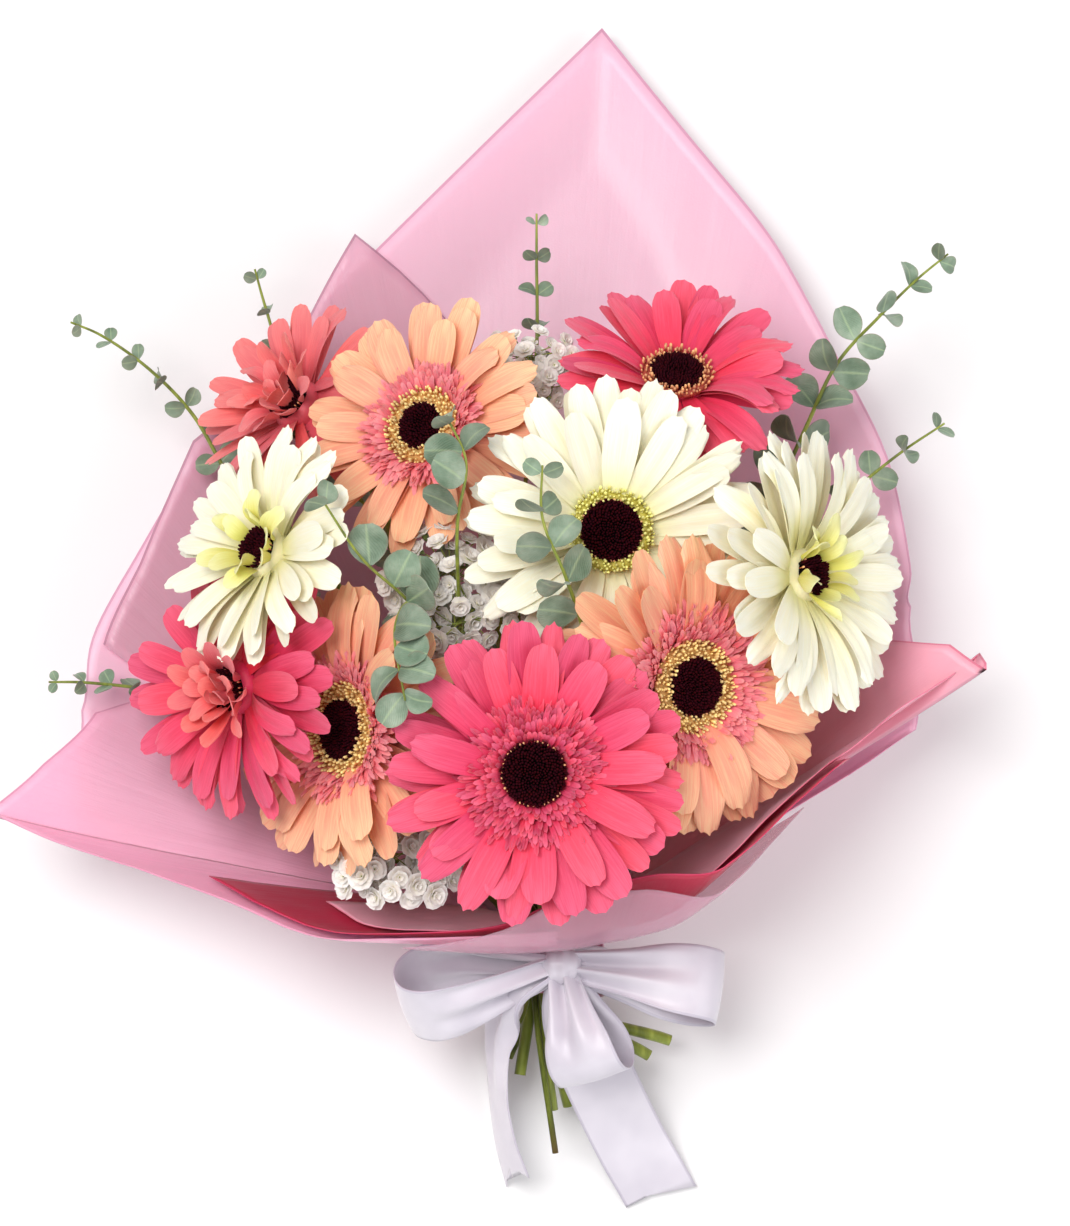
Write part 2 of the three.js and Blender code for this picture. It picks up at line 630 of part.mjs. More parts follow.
// Eucalyptus: twigs with round leaves in pairs, which shrink towards the tip.
const EUCALYPTUS = [
  { name: 'eucalyptus_left', neck: [-8.3, -5.8], foot: [8, -158, 9], twigs: [
    { route: [[-18, -64, 29], [-62, 0, 38], [-98, 58, 40], [-112, 82, 42], [-128, 98, 48],
      [-146, 110, 53], [-157, 114, 57]], leaves: [0.66, 0.97], pairs: 5, size: 8.5 },
    { route: [[-18, -64, 29], [-70, -36, 40], [-120, -25, 47], [-150, -22, 51],
      [-163, -22, 52]], leaves: [0.86, 0.98], pairs: 2, size: 5 }] },
  { name: 'eucalyptus_top', neck: [-5.6, -8], foot: [20, -158, 3.5], twigs: [
    { route: [[12, -60, 22], [-30, 20, 30], [-76, 98, 36], [-85, 124, 40], [-89, 138, 44]],
      leaves: [0.83, 0.97], pairs: 3, size: 7 },
    { route: [[12, -60, 22], [12, 30, 34], [18, 106, 44], [18, 140, 50], [18, 157, 54]],
      leaves: [0.83, 0.97], pairs: 3, size: 6 }] },
  { name: 'eucalyptus_right', neck: [8, -6.3], foot: [52, -146, 5], twigs: [
    { route: [[58, -52, 26], [94, 20, 38], [118, 72, 58], [130, 96, 66], [146, 114, 66],
      [160, 128, 66], [172, 138, 66]], leaves: [0.58, 0.97], pairs: 5, size: 10.5 },
    { route: [[58, -52, 26], [98, 8, 36], [130, 44, 52], [152, 62, 60], [170, 74, 62]],
      leaves: [0.7, 0.97], pairs: 4, size: 8 }] },
  { name: 'eucalyptus_centre', neck: [-6.6, 7.2], foot: [19, -190, 21], twigs: [
    { route: [[11, -92, 45], [6, -60, 66], [-8, -20, 84], [-24, -2, 106], [-44, 10, 120],
      [-62, 34, 124]], leaves: [0.7, 0.97], pairs: 4, size: 8.5 },
    { route: [[11, -92, 45], [6, -60, 66], [-8, -20, 84], [-10, 24, 108], [-4, 44, 122],
      [-14, 62, 126]], leaves: [0.74, 0.97], pairs: 4, size: 8 },
    { route: [[11, -92, 45], [6, -60, 66], [-8, -20, 84], [-24, -8, 106], [-35, -22, 120],
      [-37, -42, 124]], leaves: [0.76, 0.97], pairs: 3, size: 8 }] },
  { name: 'eucalyptus_front', neck: [3.2, 7.4], foot: [36, -152, 28], twigs: [
    { route: [[28, -86, 58], [36, -30, 92], [34, -12, 112], [28, 4, 122], [20, 24, 126],
      [20, 42, 130]], leaves: [0.62, 0.97], pairs: 5, size: 8.5 }] },
];

function leaf(at, out, over, size) {
  const across = out.clone().cross(over).normalize();
  const stations = [[0, 0.1], [0.5, 0.5], [1, 0.2]];
  return blade(stations.map(([share, half]) => ({
    at: at.clone().addScaledVector(out, size * 1.15 * share), across, over,
    half: half * size * 1.1, keel: LEAF_THICK / 2, edge: LEAF_THICK / 2,
  })));
}

function leafPairs(curve, { leaves, pairs, size }, random) {
  const solids = [];
  for (let i = 0; i < pairs; i += 1) {
    const share = i / Math.max(pairs - 1, 1);
    const at = curve.getPointAt(leaves[0] + (leaves[1] - leaves[0]) * share);
    const forward = curve.getTangentAt(leaves[0] + (leaves[1] - leaves[0]) * share);
    const flat = forward.clone().cross(up).normalize();
    const length = size * (1 - 0.5 * share);
    for (const hand of [-1, 1]) {
      const roll = (i % 2 ? 0.7 : 0.15) * hand + 0.3 * (random() - 0.5);
      const trials = [0, 0.5, -0.5, 1, -1, 1.6, -1.6].map((turn) => {
        const out = flat.clone().multiplyScalar(hand).applyAxisAngle(forward, roll + turn)
          .addScaledVector(forward, 0.45).normalize();
        const over = forward.clone().cross(out).multiplyScalar(hand).cross(out)
          .multiplyScalar(-hand).normalize();
        return solidOf(leaf(at, out, over.cross(out).normalize(), length));
      });
      const free = trials.find((solid) => isClear(solid));
      if (free) {
        solids.push(free);
      }
    }
  }
  return solids;
}

function addEucalyptus() {
  const random = seeded(23);
  EUCALYPTUS.forEach(({ name, neck, foot, twigs }) => {
    const solids = twigs.flatMap((twig) => {
      const route = clearRoute(neck, foot, twig.route.map(point),
        { radius: TWIG_RADIUS, sides: 3, samples: 7, fixed: 1 }, random);
      return [route.solid, ...leafPairs(route.curve, twig, random)];
    });
    add(name, geometryOf(fused(solids)), 0x7f9f7f);
  });
}

// Gypsophila: a stalk that parts into short ones, each with a small white head.
const GYPSOPHILA = [
  { name: 'gypsophila_top', neck: [0.5, -10.2], foot: [34, -146, 4],
    route: [[30, -50, 26], [30, 40, 50], [16, 88, 84]], heads: 6, spread: [18, 15, 7] },
  { name: 'gypsophila_middle', neck: [-1.8, -10.6], foot: [28, -146, 6],
    route: [[14, -84, 22], [2, -44, 38], [-8, -16, 62], [-18, 8, 88]], heads: 6, spread: [19, 15, 6] },
  { name: 'gypsophila_front', neck: [-9.6, 3.2], foot: [10, -150, 27],
    route: [[4, -101, 42], [-14, -93, 62], [-32, -95, 82]], heads: 6, spread: [20, 9, 6] },
];

function addGypsophila() {
  const random = seeded(41);
  GYPSOPHILA.forEach(({ name, neck, foot, route, heads, spread }) => {
    const { solid, points } = clearRoute(neck, foot, route.map(point),
      { radius: STALK_RADIUS, sides: 4, samples: 6, fixed: 0 }, random);
    const top = points[points.length - 1];
    const base = points[points.length - 2].clone().lerp(top, 0.75);
    const solids = [solid];
    for (let i = 0; i < heads; i += 1) {
      for (let trial = 0; trial < 12; trial += 1) {
        const angle = 2.4 * (i + 0.37 * trial) + 0.5 * random();
        const out = Math.sqrt((i + 0.6) / heads);
        const at = new THREE.Vector3(top.x + spread[0] * out * Math.cos(angle),
          top.y + spread[1] * out * Math.sin(angle), top.z + spread[2] * (random() - 0.2));
        const ball = new THREE.OctahedronGeometry(3, 0);
        ball.translate(at.x, at.y, at.z);
        const stalk = bar([base, at], 0.5, 3);
        const spray = [solidOf(welded(ball)), solidOf(stalk)];
        if (spray.every((s) => isClear(s))) {
          solids.push(...spray);
          break;
        }
      }
    }
    add(name, geometryOf(fused(solids)), 0xf3ece2);
  });
}

addWrap();
addRibbon();
add('stem_binding', neckRing(11.9, 0.9, NECK.y - 8, 6, 16), 0xb59b6a);
addStems();
addMiddles();
const hubs = BLOOMS.map((bloom) => hold(solidOf(hub(frameOf(bloom)))));
const inners = BLOOMS.map((bloom, index) => bloom.inner
  && hold(innerFlorets(bloom, seeded(index + 50))));
addEucalyptus();
addBlooms(hubs, inners);
addGypsophila();

// The bouquet rests on z = 0, with the middle of its box at the origin.
const bounds = new THREE.Box3().setFromObject(bouquet);
const middle = bounds.getCenter(new THREE.Vector3());
bouquet.position.set(-middle.x, -middle.y, -bounds.min.z);

export default bouquet;
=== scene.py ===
"""A hand-tied gerbera bouquet in a paper and film wrap with a satin bow, lying on its back."""
import math
import random

import bmesh
import bpy
import numpy as np
from mathutils import Matrix, Vector, noise


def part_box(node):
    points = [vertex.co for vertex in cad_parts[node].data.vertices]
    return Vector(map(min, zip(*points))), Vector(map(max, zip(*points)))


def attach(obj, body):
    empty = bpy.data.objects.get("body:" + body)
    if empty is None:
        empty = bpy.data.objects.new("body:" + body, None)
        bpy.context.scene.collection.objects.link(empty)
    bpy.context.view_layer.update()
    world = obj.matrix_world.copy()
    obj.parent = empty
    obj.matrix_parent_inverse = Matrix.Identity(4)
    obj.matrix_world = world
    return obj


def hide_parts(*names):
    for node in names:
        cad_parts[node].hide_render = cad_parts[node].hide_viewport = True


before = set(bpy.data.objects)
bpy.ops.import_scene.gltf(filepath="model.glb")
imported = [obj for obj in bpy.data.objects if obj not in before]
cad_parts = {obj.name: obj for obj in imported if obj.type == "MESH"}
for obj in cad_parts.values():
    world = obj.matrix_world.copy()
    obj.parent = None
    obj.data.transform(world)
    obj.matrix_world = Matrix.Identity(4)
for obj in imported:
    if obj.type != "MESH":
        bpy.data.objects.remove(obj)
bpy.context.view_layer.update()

MM = 0.001
LATHE_SIDES = 28  # of a turned body
GOLDEN_ANGLE = 2.399963  # between one bud of a spiral and the next

# The neck of the wrap, in millimetres of the bouquet's own frame, and where the row's frame
# has that frame's origin: the ribbon's band runs round the neck, 10 mm below its middle.
NECK = Vector((24, -116, 24))
NECK_RADIUS = 19.4
NECK_LENGTH = 20
BAND_DROP = 10
band_low, band_high = (Vector(corner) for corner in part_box("ribbon_band"))
SHIFT = (band_low + band_high) / 2 / MM - (NECK - Vector((0, BAND_DROP, 0)))

UP = Vector((0, 0, 1))


def to_metres(points):
    return (np.asarray(points, float).reshape(-1, 3) + np.array(SHIFT)) * MM


def clamp01(value):
    return max(0.0, min(1.0, value))


def smooth_through(points, count):
    """Points on a centripetal Catmull-Rom curve, `count` for each span."""
    pts = [np.array(p, float) for p in points]
    pts = [2 * pts[0] - pts[1]] + pts + [2 * pts[-1] - pts[-2]]
    out = []
    for k in range(1, len(pts) - 2):
        p0, p1, p2, p3 = pts[k - 1:k + 3]
        t0 = 0.0
        t1 = t0 + max(np.linalg.norm((p1 - p0)[:3]), 1e-6) ** 0.5
        t2 = t1 + max(np.linalg.norm((p2 - p1)[:3]), 1e-6) ** 0.5
        t3 = t2 + max(np.linalg.norm((p3 - p2)[:3]), 1e-6) ** 0.5
        for i in range(count):
            t = t1 + (t2 - t1) * i / count
            a1 = p0 * (t1 - t) / (t1 - t0) + p1 * (t - t0) / (t1 - t0)
            a2 = p1 * (t2 - t) / (t2 - t1) + p2 * (t - t1) / (t2 - t1)
            a3 = p2 * (t3 - t) / (t3 - t2) + p3 * (t - t2) / (t3 - t2)
            b1 = a1 * (t2 - t) / (t2 - t0) + a2 * (t - t0) / (t2 - t0)
            b2 = a2 * (t3 - t) / (t3 - t1) + a3 * (t - t1) / (t3 - t1)
            out.append(b1 * (t2 - t) / (t2 - t1) + b2 * (t - t1) / (t2 - t1))
    out.append(pts[-2])
    return np.array(out)


# ---------------------------------------------------------------- meshes

def build_mesh(name, points, faces, uvs=None, smooth=True):
    """A mesh from points in metres, with one UV for each point."""
    mesh = bpy.data.meshes.new(name)
    mesh.from_pydata([tuple(p) for p in points], [], faces)
    mesh.validate()
    if uvs is not None:
        layer = mesh.uv_layers.new(name="UVMap")
        index = np.zeros(len(mesh.loops), int)
        mesh.loops.foreach_get("vertex_index", index)
        layer.data.foreach_set("uv", np.asarray(uvs, float)[index].ravel())
    mesh.polygons.foreach_set("use_smooth", [smooth] * len(mesh.polygons))
    mesh.update()
    return mesh


def linked(name, data):
    """A new object in the scene."""
    made = bpy.data.objects.new(name, data)
    bpy.context.scene.collection.objects.link(made)
    return made


def put(name, mesh, material, slot, *nodes):
    """Shows a mesh as a piece that stands for CAD nodes."""
    piece = linked(name + "_fine", mesh)
    if material:
        mesh.materials.clear()
        mesh.materials.append(material)
    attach(piece, "root")
    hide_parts(*nodes)
    return piece


def slab_faces(columns, rows):
    """Faces of a closed slab between an outer and an inner grid of columns by rows."""
    half = columns * rows
    faces = []
    for i in range(columns - 1):
        for j in range(rows - 1):
            a = i * rows + j
            b, c, d = a + rows, a + rows + 1, a + 1
            faces.append((a, b, c, d))
            faces.append((half + a, half + d, half + c, half + b))
    border = [i * rows for i in range(columns)]
    border += [(columns - 1) * rows + j for j in range(1, rows)]
    border += [i * rows + rows - 1 for i in range(columns - 2, -1, -1)]
    border += [j for j in range(rows - 2, 0, -1)]
    for a, b in zip(border, border[1:] + border[:1]):
        faces.append((b, a, half + a, half + b))
    return faces


def slab_mesh(name, outer, inner, uvs):
    """A closed slab from two grids (columns, rows, 3) in millimetres."""
    columns, rows = outer.shape[:2]
    points = to_metres(np.concatenate([outer.reshape(-1, 3), inner.reshape(-1, 3)]))
    mesh = build_mesh(name, points, slab_faces(columns, rows), np.concatenate([uvs, uvs]))
    turn_outwards(mesh)
    return mesh


def turn_outwards(mesh):
    """Turns a closed mesh's faces outwards, going by its volume."""
    volume = 0.0
    for face in mesh.polygons:
        corners = [mesh.vertices[v].co for v in face.vertices]
        for k in range(1, len(corners) - 1):
            volume += corners[0].dot(corners[k].cross(corners[k + 1]))
    if volume < 0:
        mesh.flip_normals()
    mesh.update()


def joined(name, meshes):
    """One mesh of several, materials kept."""
    parts = [linked(name, mesh) for mesh in meshes]
    with bpy.context.temp_override(active_object=parts[0], selected_editable_objects=parts,
                                   selected_objects=parts):
        bpy.ops.object.join()
    mesh = parts[0].data
    bpy.data.objects.remove(parts[0])
    return mesh


def ring_faces(rows, sides, capped=True):
    """Faces of a round body made of rows of points, closed at both ends if it is capped."""
    faces = []
    for r in range(rows - 1):
        for k in range(sides):
            a, b = r * sides + k, r * sides + (k + 1) % sides
            faces.append((a, b, b + sides, a + sides))
    if capped:
        last = (rows - 1) * sides
        faces.append(tuple(range(sides - 1, -1, -1)))
        faces.append(tuple(range(last, last + sides)))
    return faces


def lathe_mesh(name, here, profile, capped=True):
    """A turned body on a bloom: profile rows are (radius, height) in millimetres."""
    points, uvs = [], []
    for r, (radius, height) in enumerate(profile):
        for k in range(LATHE_SIDES):
            points.append(here.at(radius, math.tau * k / LATHE_SIDES, height))
            uvs.append((k / LATHE_SIDES, 0.3 * r / len(profile)))
    mesh = build_mesh(name, to_metres(points), ring_faces(len(profile), LATHE_SIDES, capped),
                      uvs)
    turn_outwards(mesh)
    return mesh


# ---------------------------------------------------------------- geometry nodes

class NodeTree:
    """A node tree, with short ways to add nodes and to feed them."""

    def __init__(self, tree):
        self.tree = tree

    def feed(self, socket, value):
        if isinstance(value, bpy.types.NodeSocket):
            self.tree.links.new(value, socket)
        else:
            socket.default_value = value

    def node(self, kind, **inputs):
        made = self.tree.nodes.new(kind)
        for key, value in inputs.items():
            self.feed(made.inputs[key.replace("_", " ")], value)
        return made


class GrowTree(NodeTree):
    """A geometry tree from a carrier mesh to a plain one. Its further inputs are given as
    the label, with the kind of socket and the value that it starts with."""

    def __init__(self, name, **inputs):
        super().__init__(bpy.data.node_groups.new(name, "GeometryNodeTree"))
        for label, (kind, value) in dict(Geometry=("Geometry", None), **inputs).items():
            self.socket(label.replace("_", " "), "INPUT", kind, value)
        self.socket("Geometry", "OUTPUT", "Geometry")
        self.given = self.tree.nodes.new("NodeGroupInput").outputs

    def socket(self, label, way, kind, value=None):
        made = self.tree.interface.new_socket(label, in_out=way,
                                              socket_type="NodeSocket" + kind)
        if value is not None:
            made.default_value = value

    def attribute(self, name, kind):
        node = self.tree.nodes.new("GeometryNodeInputNamedAttribute")
        node.data_type = kind
        node.inputs["Name"].default_value = name
        return node.outputs["Attribute"]

    def painted(self, geometry):
        """Ends the tree with real geometry in the material that it is given."""
        whole = self.node("GeometryNodeRealizeInstances", Geometry=geometry)
        paint = self.node("GeometryNodeSetMaterial", Geometry=whole.outputs[0],
                          Material=self.given["Material"])
        self.node("NodeGroupOutput", Geometry=paint.outputs[0])
        return self.tree


FORM_INPUTS = ("Plain form", "Curled form", "Twisted form")


def form_tree():
    """Lays a form on each point, turned and stretched by the point's own attributes."""
    grow = GrowTree("lay_forms_on_points", Plain_form=("Object", None),
                    Curled_form=("Object", None), Twisted_form=("Object", None),
                    Material=("Material", None), Size=("Float", 1.0))
    forms = grow.node("GeometryNodeJoinGeometry")
    for name in FORM_INPUTS:
        info = grow.node("GeometryNodeObjectInfo", Object=grow.given[name])
        single = grow.node("GeometryNodeGeometryToInstance",
                           Geometry=info.outputs["Geometry"])
        grow.feed(forms.inputs[0], single.outputs[0])
    scale = grow.tree.nodes.new("ShaderNodeVectorMath")
    scale.operation = "SCALE"
    grow.feed(scale.inputs[0], grow.attribute("stretch", "FLOAT_VECTOR"))
    grow.feed(scale.inputs["Scale"], grow.given["Size"])
    lay = grow.node("GeometryNodeInstanceOnPoints", Points=grow.given["Geometry"],
                    Instance=forms.outputs[0], Pick_Instance=True,
                    Instance_Index=grow.attribute("kind", "INT"),
                    Rotation=grow.attribute("turn", "QUATERNION"), Scale=scale.outputs[0])
    return grow.painted(lay.outputs["Instances"])


def stalk_tree():
    """Skins edges with a round stalk; each point's own attribute gives its radius."""
    grow = GrowTree("skin_stalks", Material=("Material", None), Sides=("Int", 10))
    curve = grow.node("GeometryNodeMeshToCurve", Mesh=grow.given["Geometry"])
    ring = grow.node("GeometryNodeCurvePrimitiveCircle", Radius=1.0,
                     Resolution=grow.given["Sides"])
    skin = grow.node("GeometryNodeCurveToMesh", Curve=curve.outputs["Curve"],
                     Profile_Curve=ring.outputs["Curve"], Fill_Caps=True,
                     Scale=grow.attribute("thick", "FLOAT"))
    return grow.painted(skin.outputs["Mesh"])


def grown(name, carrier, tree, inputs):
    """The plain mesh that a tree makes of a carrier mesh."""
    holder = linked(name, carrier)
    modifier = holder.modifiers.new("grow", "NODES")
    modifier.node_group = tree
    for item in tree.interface.items_tree:
        if item.in_out == "INPUT" and item.name in inputs:
            modifier[item.identifier] = inputs[item.name]
    graph = bpy.context.evaluated_depsgraph_get()
    mesh = bpy.data.meshes.new_from_object(holder.evaluated_get(graph),
                                           preserve_all_data_layers=True, depsgraph=graph)
    mesh.name = name
    bpy.data.objects.remove(holder)
    bpy.data.meshes.remove(carrier)
    mesh.polygons.foreach_set("use_smooth", [True] * len(mesh.polygons))
    mesh.update()
    return mesh


LAY_FORMS = form_tree()
SKIN_STALKS = stalk_tree()


class Spots:
    """Points for forms: where, turned how, how stretched, which form, and what tint."""

    def __init__(self):
        self.rows = []

    def add(self, at, along, over, stretch=(1, 1, 1), kind=0, tint=0.5):
        """`along` is where the form's length points, `over` its upper side."""
        x = Vector(along).normalized()
        z = Vector(over)
        z = (z - x * z.dot(x)).normalized()
        y = z.cross(x)
        turn = Matrix((x, y, z)).transposed().to_quaternion()
        self.rows.append((at, turn, stretch, kind, tint))

    def grow(self, name, forms, material, size=1.0):
        """The mesh of one of up to three forms on each point."""
        forms = (list(forms) * 3)[:3]
        mesh = bpy.data.meshes.new(name + "_spots")
        mesh.from_pydata([tuple(p) for p in to_metres([r[0] for r in self.rows])], [], [])
        kinds = dict(turn="QUATERNION", stretch="FLOAT_VECTOR", kind="INT", tint="FLOAT")
        for label, kind in kinds.items():
            mesh.attributes.new(label, kind, "POINT")
        column = mesh.attributes
        for i, (_, turn, stretch, form, tint) in enumerate(self.rows):
            column["turn"].data[i].value = turn
            column["stretch"].data[i].vector = stretch
            column["kind"].data[i].value = form
            column["tint"].data[i].value = tint
        return grown(name, mesh, LAY_FORMS,
                     dict(zip(FORM_INPUTS, forms), Material=material, Size=size))


def stalks(name, paths, material, sides=10):
    """Round stalks along paths of (points in millimetres, radii in millimetres)."""
    points, edges, radii = [], [], []
    for path, radius in paths:
        start = len(points)
        points.extend(path)
        radii.extend(radius)
        edges.extend((k, k + 1) for k in range(start, len(points) - 1))
    mesh = bpy.data.meshes.new(name + "_paths")
    mesh.from_pydata([tuple(p) for p in to_metres(points)], edges, [])
    thick = mesh.attributes.new("thick", "FLOAT", "POINT")
    thick.data.foreach_set("value", [r * MM for r in radii])
    return grown(name, mesh, SKIN_STALKS, {"Material": material, "Sides": sides})


# ---------------------------------------------------------------- forms

FORMS = []  # the objects that the trees lay on points; the last step removes them


def as_form(name, mesh):
    form = linked(name, mesh)
    form.hide_render = True
    FORMS.append(form)
    return form


def blade_form(name, length, width, outline, lift, thick, columns=6, rows=11, groove=0.0,
               twist=0.0, cup=0.0, tip=0.0, teeth=0.0):
    """A thin closed blade along +X. `outline` and `lift` are functions of the share of its
    length; `cup` raises the edges, `tip` rounds the end and `teeth` notches it."""
    tops, bottoms, uvs = [], [], []
    for i in range(columns + 1):
        across = 2 * i / columns - 1
        for j in range(rows + 1):
            share = j / rows
            half = 0.5 * width * outline(share)
            reach = length * share
            reach -= length * tip * (1 - math.sqrt(1 - (0.97 * across) ** 2)) * share ** 4
            reach -= length * teeth * share ** 9 * abs(math.sin(1.5 * math.pi * across))
            ridge = groove * math.cos(math.tau * across) * math.sin(math.pi * share) ** 0.5
            height = lift(share) * length + cup * half * across ** 2 + ridge
            roll = twist * share
            y, z = half * across, height
            y, z = (y * math.cos(roll) - (z - lift(share) * length) * math.sin(roll),
                    z + y * math.sin(roll))
            edge = thick * (0.35 + 0.65 * (1 - across ** 2)) * (1 - 0.5 * share)
            tops.append((reach, y, z + edge / 2))
            bottoms.append((reach, y, z - edge / 2))
            uvs.append((i / columns, share))
    points = np.array(tops + bottoms) * MM
    mesh = build_mesh(name, points, slab_faces(columns + 1, rows + 1), uvs + uvs)
    turn_outwards(mesh)
    under = mesh.attributes.new("under", "FLOAT", "POINT")
    under.data.foreach_set("value", [0.0] * len(tops) + [1.0] * len(bottoms))
    mesh.set_sharp_from_angle(angle=math.radians(50))
    return as_form(name, mesh)


def peg_form(name, length, radii, sides=5):
    """A small closed peg along +X from rows of (share, radius)."""
    points, uvs = [], []
    for share, radius in radii:
        for k in range(sides):
            angle = math.tau * k / sides
            points.append((length * share, radius * math.cos(angle), radius * math.sin(angle)))
            uvs.append((k / sides, share))
    mesh = build_mesh(name, np.array(points) * MM, ring_faces(len(radii), sides), uvs)
    turn_outwards(mesh)
    return as_form(name, mesh)


def ray_outline(share):
    late = max(share - 0.66, 0) / 0.34
    return 0.4 + 0.6 * math.sin(0.5 * math.pi * min(share / 0.66, 1)) - 0.18 * late ** 2


def floret_outline(share):
    return 0.45 + 0.55 * math.sin(math.pi * (0.1 + share * 0.72))


def leaf_outline(share):
    return 0.16 + 0.84 * math.sin(math.pi * clamp01((share - 0.04) / 0.98)) ** 0.55


def lift(arch=0.0, span=1.0, line=0.0, square=0.0, cube=0.0):
    """How a blade rises along its length: an arch, and powers of the share."""
    return lambda share: (arch * math.sin(math.pi * share * span) + line * share
                          + square * share ** 2 + cube * share ** 3)


def blade_forms(family, length, outline, thick, shared, **kinds):
    """Forms of one family: for each its width, its lift, and what else is its own."""
    return [blade_form(family + "_" + kind, length, width, outline, rise, thick,
                       **dict(shared, **own)) for kind, (width, rise, own) in kinds.items()]


RAY_LENGTH, RAY_WIDTH = 46, 11.8
ray_forms = blade_forms(
    "ray", RAY_LENGTH, ray_outline, 0.6, dict(columns=10, rows=13, groove=0.24),
    plain=(RAY_WIDTH, lift(0.07), dict(cup=0.06, tip=0.13, teeth=0.02)),
    curled=(RAY_WIDTH * 0.9, lift(0.12, 0.9, cube=-0.06),
            dict(groove=0.28, cup=0.2, tip=0.14, teeth=0.03)),
    twisted=(RAY_WIDTH, lift(0.03, square=0.04),
             dict(twist=0.3, cup=0.1, tip=0.12, teeth=0.012)))
INNER_LENGTH = 16
inner_forms = blade_forms(
    "inner", INNER_LENGTH, ray_outline, 0.6, dict(rows=7, groove=0.2, tip=0.2),
    plain=(8, lift(0.1), dict(cup=0.25)),
    curled=(7, lift(0.2, 0.9, cube=-0.1), dict(cup=0.4, twist=0.3)),
    twisted=(7.5, lift(square=0.16), dict(cup=0.3, twist=-0.35)))
FLORET_LENGTH, FLORET_WIDTH = 11, 2
floret_forms = blade_forms(
    "floret", FLORET_LENGTH, floret_outline, 0.5, dict(columns=2, rows=5, cup=0.5, tip=0.12),
    plain=(FLORET_WIDTH, lift(0.1), {}),
    curled=(FLORET_WIDTH, lift(square=0.22), dict(cup=0.6, twist=0.4)),
    bent=(FLORET_WIDTH, lift(square=-0.16), dict(tip=0.15, twist=-0.3)))
bud_form = peg_form("eye_bud", 2.6, [(0, 0.75), (0.6, 0.85), (0.85, 0.62), (1, 0.2)])
anther_form = peg_form("anther", 4, [(0, 0.3), (0.55, 0.34), (0.62, 0.62), (0.9, 0.55),
                                     (1, 0.15)])
bract_form = blade_form("bract", 11, 3, lambda s: 1 - 0.85 * s, lift(0.06), 0.6, columns=2,
                        rows=4, cup=0.3)
LEAF_LENGTH = 10
leaf_forms = blade_forms(
    "leaf", LEAF_LENGTH, leaf_outline, 0.5, dict(rows=10, groove=0.08),
    flat=(9.4, lift(0.05), dict(cup=0.12)),
    cupped=(9, lift(0.14, line=-0.1), dict(cup=0.3)),
    bent=(9.4, lift(square=0.16), dict(cup=0.2, twist=0.35)))
head_petal_form = blade_form("head_petal", 3.2, 3, lambda s: 0.4 + 0.6 * s ** 0.7,
                             lift(square=0.16), 0.3, columns=2, rows=3, cup=0.3, tip=0.2)
calyx_form = peg_form("head_calyx", 2.4, [(0, 0.3), (0.4, 0.8), (1, 0.95)], sides=6)


# ---------------------------------------------------------------- materials

def shader_color(text):
    """A colour given in screen values, as six hex digits, the way a shader takes it."""
    return tuple((v / 255) ** 2.2 for v in bytes.fromhex(text)) + (1.0,)


